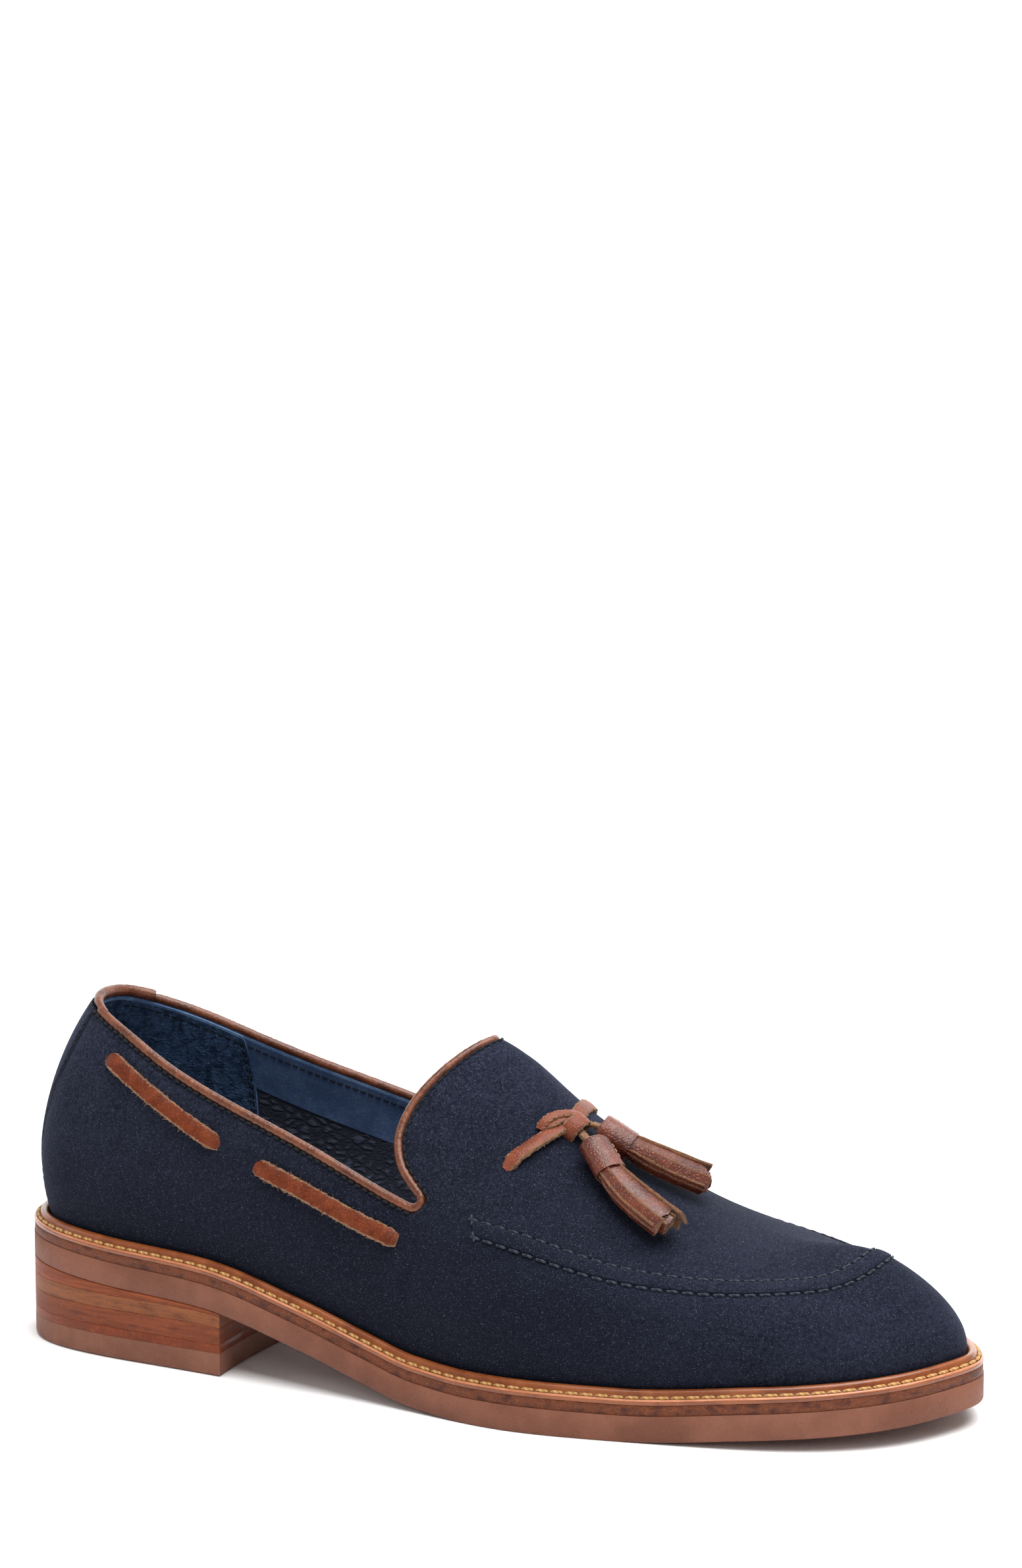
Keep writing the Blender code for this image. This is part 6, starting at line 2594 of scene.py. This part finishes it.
@dataclass
class VampTie:
    """The strap over the vamp, its loops and knot, and the thongs of the tassels."""

    sewing: Sewing
    strap: float = 0.0046
    thickness: float = 0.0018
    sink: float = 0.0004
    dive: float = 0.0016
    dive_length: float = 0.0036
    pinch: float = 0.34
    tilt: float = 0.42
    raised: float = 0.0007
    ease: float = 12.0
    loop: tuple[float, float] = (0.0027, 0.0012)
    loop_step: float = 0.0003
    loop_tilt: float = 0.3
    thong: tuple[float, float] = (0.0023, 0.0015)
    band: tuple[float, float] = (0.0050, 0.0013)
    wrap: tuple[float, float] = (0.0036, 0.0030)
    wrap_lift: float = 0.0009

    def strip(
        self, name: str, node: str, centres: Sequence[Point], ups: Sequence[Point], width: float,
        thickness: float, ends: tuple[bool, bool], seed: int, flesh: bool = False,
    ) -> Strip:
        """Builds one strip of the tie.

        Args:
            name: Name of the piece.
            node: The solid that it replaces, or nothing.
            centres: Its path.
            ups: Directions off the surface.
            width: Its width.
            thickness: Its thickness.
            ends: Whether its first and last end dive into a slot.
            seed: Seed of its ragged edges.
            flesh: Whether its face is the flesh side.

        Returns:
            The strip.
        """
        travel = walk(centres)
        shaped = []
        widths = []
        for centre, up, at in zip(centres, ups, travel):
            dive = 0.0
            for ending, gap in zip(ends, (at, travel[-1] - at)):
                if ending:
                    dive = max(dive, 1.0 - smooth_step(gap / self.dive_length))
            shaped.append(centre - up * (self.sink + self.dive * dive))
            widths.append(1.0 - self.pinch * dive)
        strip = Strip(width, thickness, seed=seed, flesh=flesh)
        piece = strip.skin(shaped, ups, widths, [1.0] * len(shaped)).piece(name, STRAP, RAW)
        dress(piece, node)
        return strip

    def knot_frame(self) -> tuple[Point, Point, Point, Point]:
        """Middle of the knot with its directions forward, across and up.

        Returns:
            The middle and the three directions.
        """
        middle, up = over_upper(*KNOT_PLACE, 0.0)
        ahead, _ = over_upper(KNOT_PLACE[0] + SHAPE.NEAR, KNOT_PLACE[1], 0.0)
        forward = unit(ahead - middle)
        across = unit(np.cross(up, forward))
        return middle, forward, across, np.cross(forward, across)

    def build(self) -> None:
        """Builds the straps, the loops, the knot and the thongs."""
        fringe = []
        middle, forward, across, up = self.knot_frame()
        centres, ups = path_over_upper(LATERAL_STRAP, 46)
        ease = [smooth_step(i / self.ease) for i in range(46)]
        ups = [unit(u - self.tilt * forward * e) for u, e in zip(ups, ease)]
        centres = [c + u * self.raised * e for c, u, e in zip(centres, ups, ease)]
        name = "vamp_strap_lateral"
        strip = self.strip(
            name + "_leather", name, centres, ups, self.strap, self.thickness, (True, False), 31,
        )
        fringe += [row[4:] for row in strip.edges(centres, ups, 0.2)]
        centres, ups = path_over_upper(MEDIAL_STRAP, 60)
        name = "vamp_strap_medial"
        strip = self.strip(
            name + "_leather", name, centres, ups, self.strap, self.thickness, (False, True), 32,
        )
        fringe += [row[:-4] for row in strip.edges(centres, ups, 0.2)]
        self.loops(forward)
        self.knot(middle, forward, across, up)
        for name, rows, seed in (("thong_near", NEAR_THONG, 34), ("thong_far", FAR_THONG, 35)):
            centres, ups = path_over_upper(rows, 24)
            strip = self.strip(name + "_leather", name, centres, ups, *self.thong, (False, False), seed, True)
            fringe += strip.edges(centres, ups, 0.5)
        self.sewing.fray("tie_fibres", fringe, 0.00050, 0.0009, 6)

    def loops(self, forward: Point) -> None:
        """Two arched bands of the strap behind the knot.

        Args:
            forward: Direction towards the toe.
        """
        for number, (rows, node) in enumerate(((TIE_LOOP, "vamp_loop"), (TIE_LOOP_INNER, ""))):
            centres, ups = path_over_upper(rows, 34)
            ups = [unit(u - self.loop_tilt * forward) for u in ups]
            width, thickness = self.loop
            strip = Strip(width - self.loop_step * number, thickness, dome=0.2, seed=40 + number)
            skin = strip.skin(centres, ups, [1.0] * 34, [1.0] * 34)
            piece = skin.piece("vamp_loop_leather_%d" % (number + 1), STRAP, RAW)
            dress(piece, node)

    def knot(self, middle: Point, forward: Point, across: Point, up: Point) -> None:
        """The band that is wrapped over the strap.

        Args:
            middle: Where it sits.
            forward: Not used; the band's width lies along it all the same.
            across: Its direction of travel.
            up: Off the vamp.
        """
        wide, high = self.wrap
        centres = []
        ups = []
        for turn in np.linspace(-0.16 * math.pi, 1.16 * math.pi, 44):
            cosine, sine = math.cos(turn), math.sin(turn)
            centres.append(middle + up * self.wrap_lift + across * cosine * wide + up * sine * high)
            ups.append(unit(across * cosine / wide + up * sine / high))
        strip = Strip(*self.band, dome=0.14, seed=33)
        piece = strip.skin(centres, ups, [1.0] * 44, [1.0] * 44).piece("vamp_knot_leather", STRAP, RAW)
        dress(piece, "vamp_knot")


# Fringe strips: degrees round the tassel, share of the reach, width in metres, share of the length,
# and the cut of the tip at its left, middle and right in metres
FRINGE = (
    (92.0, 1.00, 0.0060, 0.97, 0.0013, 0.0000, 0.0009),
    (28.0, 1.00, 0.0048, 1.00, 0.0002, 0.0010, 0.0000),
    (156.0, 1.00, 0.0052, 1.05, 0.0000, 0.0008, 0.0012),
    (-18.0, 0.98, 0.0048, 0.98, 0.0008, 0.0000, 0.0006),
    (200.0, 0.98, 0.0048, 1.02, 0.0000, 0.0007, 0.0002),
    (-70.0, 0.96, 0.0050, 0.96, 0.0006, 0.0000, 0.0008),
    (-115.0, 0.96, 0.0050, 0.99, 0.0000, 0.0008, 0.0003),
    (60.0, 0.62, 0.0042, 1.02, 0.0006, 0.0000, 0.0004),
    (120.0, 0.62, 0.0042, 0.98, 0.0000, 0.0006, 0.0002),
    (5.0, 0.58, 0.0040, 1.03, 0.0004, 0.0000, 0.0007),
    (180.0, 0.58, 0.0040, 0.99, 0.0002, 0.0006, 0.0000),
    (-90.0, 0.50, 0.0044, 1.01, 0.0000, 0.0005, 0.0004),
)


# Cap: share of its length and of its half sizes, from the rolled-in top to the turned-under rim
CAP = (
    (0.07, 0.42), (0.01, 0.60), (-0.005, 0.78), (0.0, 0.90), (0.03, 0.965), (0.12, 0.985), (0.5, 0.99),
    (0.8, 1.01), (0.95, 1.03), (0.99, 1.02), (1.0, 0.97), (0.985, 0.90), (0.9, 0.84),
)
CAP_RAW_RINGS = (0, 1, 2, 10, 11)


@dataclass
class Tassel:
    """A rolled cap over a fringe of cut strips."""

    sewing: Sewing
    word: str
    rows: Rows
    seed: int
    half_width: float = 0.0047
    half_height: float = 0.0039
    wall: float = 0.0011
    strip: float = 0.0013
    spread: float = 1.30
    cap_points: int = 48
    lap: float = 0.055
    lap_turn: float = 2.3
    stitch_turn: float = 152.0
    stitch: Stitch = Stitch(0.0013, 0.0016, 0.0007)

    def cap(self, top: Point, neck: Point, up: Point) -> None:
        """The rolled cap, with its rim, its lapped seam and its lower edge.

        Args:
            top: Its upper end.
            neck: Its lower end.
            up: Off the vamp.
        """
        way = unit(neck - top)
        side = unit(np.cross(way, up))
        rise = np.cross(side, way)
        length = float(np.linalg.norm(neck - top))
        count = self.cap_points
        rings = []
        for place, size in CAP:
            ring = []
            for k in range(count):
                turn = 2.0 * math.pi * k / count
                past = turn - self.lap_turn
                lap = 1.0 + self.lap * smooth_step(past / 0.10) * (1.0 - smooth_step(past / 3.6))
                width = self.half_width * size * lap
                height = self.half_height * size * lap
                middle = top + way * length * place
                ring.append(middle + side * width * math.cos(turn) + rise * height * math.sin(turn))
            rings.append(ring)
        skin = Skin()
        around = [0.3 * i / count for i in range(count + 1)]
        stations = [0.1 * place for place, _ in CAP]
        skin.rings(rings, stations, around, lambda ring, k: int(ring in CAP_RAW_RINGS), capped=1)
        piece = skin.piece("tassel_%s_cap" % self.word, TASSEL, RAW_DARK)
        dress(piece, "tassel_%s" % self.word)
        nick = []
        turn = math.radians(self.stitch_turn)
        cosine, sine = math.cos(turn), math.sin(turn)
        for t in np.linspace(0.30, 0.62, 8):
            point = top + way * length * t + side * self.half_width * cosine + rise * self.half_height * sine
            nick.append(point + (side * cosine + rise * sine) * 0.0002)
        self.sewing.sew("tassel_%s_stitch" % self.word, [nick], BROWN_THREAD, self.stitch)

    def fringe(self, neck: Point, tip: Point, back: Point, up: Point) -> None:
        """The strips of the fringe, as one piece.

        Args:
            neck: Where they leave the cap.
            tip: Where the middle of the fringe ends.
            back: Direction from the neck to the cap's top.
            up: Off the vamp.
        """
        random = np.random.default_rng(self.seed)
        whole = Skin()
        start = neck + back * 0.0022
        handle = neck - back * 0.0060
        edges = []
        for angle, reach, width, length, left, middle, right in FRINGE:
            turn = math.radians(angle + random.normal(0.0, 2.5))
            stations = np.linspace(0.0, length, 15)
            spine = [(1 - t) ** 2 * start + 2 * t * (1 - t) * handle + t * t * tip for t in stations]
            centres = []
            ups = []
            for t, point, way in zip(stations, spine, directions(spine)):
                side = unit(np.cross(way, up))
                rise = np.cross(side, way)
                swell = 1.0 + (self.spread - 1.0) * math.sin(0.62 * math.pi * min(1.0, 1.15 * t))
                wide = (self.half_width - 0.8 * self.strip) * reach * swell * (1.0 + 0.22 * t)
                high = (self.half_height - 0.8 * self.strip) * reach * swell * (1.0 - 0.16 * t)
                out = side * math.cos(turn) * wide + rise * math.sin(turn) * high
                centres.append(point + out - unit(out) * self.strip)
                out = side * math.cos(turn) / self.half_width + rise * math.sin(turn) / self.half_height
                ups.append(unit(out))
            strip = Strip(width, self.strip, dome=0.30, ragged=0.00007, seed=self.seed + int(angle) % 97)
            widths = [0.80 + 0.20 * smooth_step(t / 0.35) for t in stations]

            def cut(a: float) -> float:
                """How far the tip is cut back at a place across the strip.

                Args:
                    a: Place across the strip, from -0.5 to 0.5.

                Returns:
                    Metres along the strip.
                """
                if a < 0.0:
                    return -(middle + (left - middle) * min(1.0, -2.0 * a))
                return -(middle + (right - middle) * min(1.0, 2.0 * a))

            part = strip.skin(centres, ups, widths, [1.0] * 15, (lambda a: 0.0, cut))
            offset = len(whole.points)
            whole.points += part.points
            whole.faces += [tuple(k + offset for k in face) for face in part.faces]
            whole.corners += part.corners
            whole.finishes += part.finishes
            edges += [row[3:] for row in strip.edges(centres, ups, 0.4)]
        dress(whole.piece("tassel_%s_fringe" % self.word, TASSEL, RAW_DARK, sharp=45.0))
        self.sewing.fray("tassel_%s_fibres" % self.word, edges, 0.0011, 0.0005, self.seed, 0.00004)

    def build(self) -> None:
        """Builds the cap and the fringe."""
        ends, ups = path_over_upper(self.rows, 3)
        top, neck, tip = ends
        self.cap(top, neck, ups[0])
        self.fringe(neck, tip, unit(top - neck), ups[1])


@dataclass
class Studio:
    """Camera, floor, lit wall and soft lights. The focal length and the height are in pixels."""

    place: Colour = (0.415680, -0.868700, 0.274770)
    pan: float = 25.0829001
    dip: float = 5.88267744
    roll: float = -0.25399445
    focal: float = 5012.64335
    tall: float = 2380.0
    sensor: float = 36.0
    sky: float = 0.36
    floor_reach: float = 8.0
    wall_away: float = 1.7
    wall_reach: float = 2.6
    wall_height: float = 1.6

    def camera(self) -> None:
        """Sets the camera at the photograph's angle."""
        pan = math.radians(self.pan)
        dip = math.radians(self.dip)
        roll = math.radians(self.roll)
        ahead = Vector((-math.sin(pan) * math.cos(dip), math.cos(pan) * math.cos(dip), -math.sin(dip)))
        right = Vector((math.cos(pan), math.sin(pan), 0.0))
        up = right.cross(ahead)
        side = right * math.cos(roll) + up * math.sin(roll)
        top = up * math.cos(roll) - right * math.sin(roll)
        data = bpy.data.cameras.new("camera")
        data.lens = self.focal / self.tall * self.sensor
        data.sensor_width = self.sensor
        data.sensor_fit = "AUTO"
        data.clip_start = 0.01
        data.clip_end = 50.0
        made = placed("camera", data)
        turn = Matrix((side, top, -ahead)).transposed().to_4x4()
        made.matrix_world = Matrix.Translation(self.place) @ turn
        bpy.context.scene.camera = made

    def light(
        self, name: str, place: Colour, aim: Colour, width: float, height: float, watts: float, shade: Colour,
    ) -> None:
        """Adds a soft box.

        Args:
            name: Name of the light.
            place: Where it hangs.
            aim: What it points at.
            width: Its width.
            height: Its height.
            watts: Its power.
            shade: Its colour.
        """
        data = bpy.data.lights.new(name, "AREA")
        data.shape = "RECTANGLE"
        data.size = width
        data.size_y = height
        data.energy = watts
        data.color = shade
        made = placed(name, data)
        way = Vector(aim) - Vector(place)
        made.matrix_world = Matrix.Translation(place) @ way.to_track_quat("-Z", "Y").to_matrix().to_4x4()

    def plate(self, name: str, corners: Sequence[Colour], finish: object) -> None:
        """A flat plate of the studio.

        Args:
            name: Its name.
            corners: Its four corners.
            finish: Its finish.
        """
        mesh = bpy.data.meshes.new(name)
        mesh.from_pydata(corners, [], [(0, 1, 2, 3)])
        mesh.materials.append(dressed(finish))
        placed(name, mesh)

    def floor(self) -> None:
        """Lays the floor, and stands a lit white wall far behind the shoe."""
        reach = self.floor_reach
        turns = ((-1.0, -1.0), (1.0, -1.0), (1.0, 1.0), (-1.0, 1.0))
        self.plate("floor", [(reach * x, reach * y, 0.0) for x, y in turns], FLOOR)
        pan = math.radians(self.pan)
        base = np.array([-math.sin(pan), math.cos(pan), 0.0]) * self.wall_away
        side = np.array([math.cos(pan), math.sin(pan), 0.0]) * self.wall_reach
        high = np.array([0.0, 0.0, self.wall_height])
        wall = (base - side, base + side, base + side + high, base - side + high)
        self.plate("backdrop", [tuple(map(float, corner)) for corner in wall], BACKDROP)

    def build(self) -> None:
        """Sets up the studio."""
        self.camera()
        self.floor()
        world = bpy.data.worlds.new("studio")
        world.use_nodes = True
        back = world.node_tree.nodes["Background"]
        back.inputs["Color"].default_value = (1.0, 1.0, 1.0, 1.0)
        back.inputs["Strength"].default_value = self.sky
        bpy.context.scene.world = world
        bpy.context.scene.view_settings.view_transform = "Standard"
        self.light("top_box", (0.38, -0.05, 1.45), (0.03, 0.0, 0.0), 1.8, 1.4, 50.0, (1.0, 1.0, 1.0))
        self.light("front_box", (0.5, -1.8, 1.1), (0.0, 0.0, 0.05), 1.4, 0.7, 4.0, (1.0, 0.99, 0.97))
        self.light("left_box", (-1.5, -0.5, 0.7), (0.0, 0.0, 0.05), 0.6, 0.8, 3.0, (1.0, 1.0, 1.0))


def main() -> None:
    """Builds the sub-assemblies in order and reports each."""
    logging.basicConfig(level=logging.INFO, format="%(name)s: %(message)s")
    Studio().build()
    sewing = Sewing()
    parts = (
        Sole(sewing), Heel(), Upper(sewing), Edging(), SideLaces(sewing), VampTie(sewing),
        Tassel(sewing, "near", NEAR_TASSEL, 51), Tassel(sewing, "far", FAR_TASSEL, 64),
    )
    for part in parts:
        part.build()
        LOG.info("built %s", type(part).__name__)


if __name__ == "__main__":
    main()
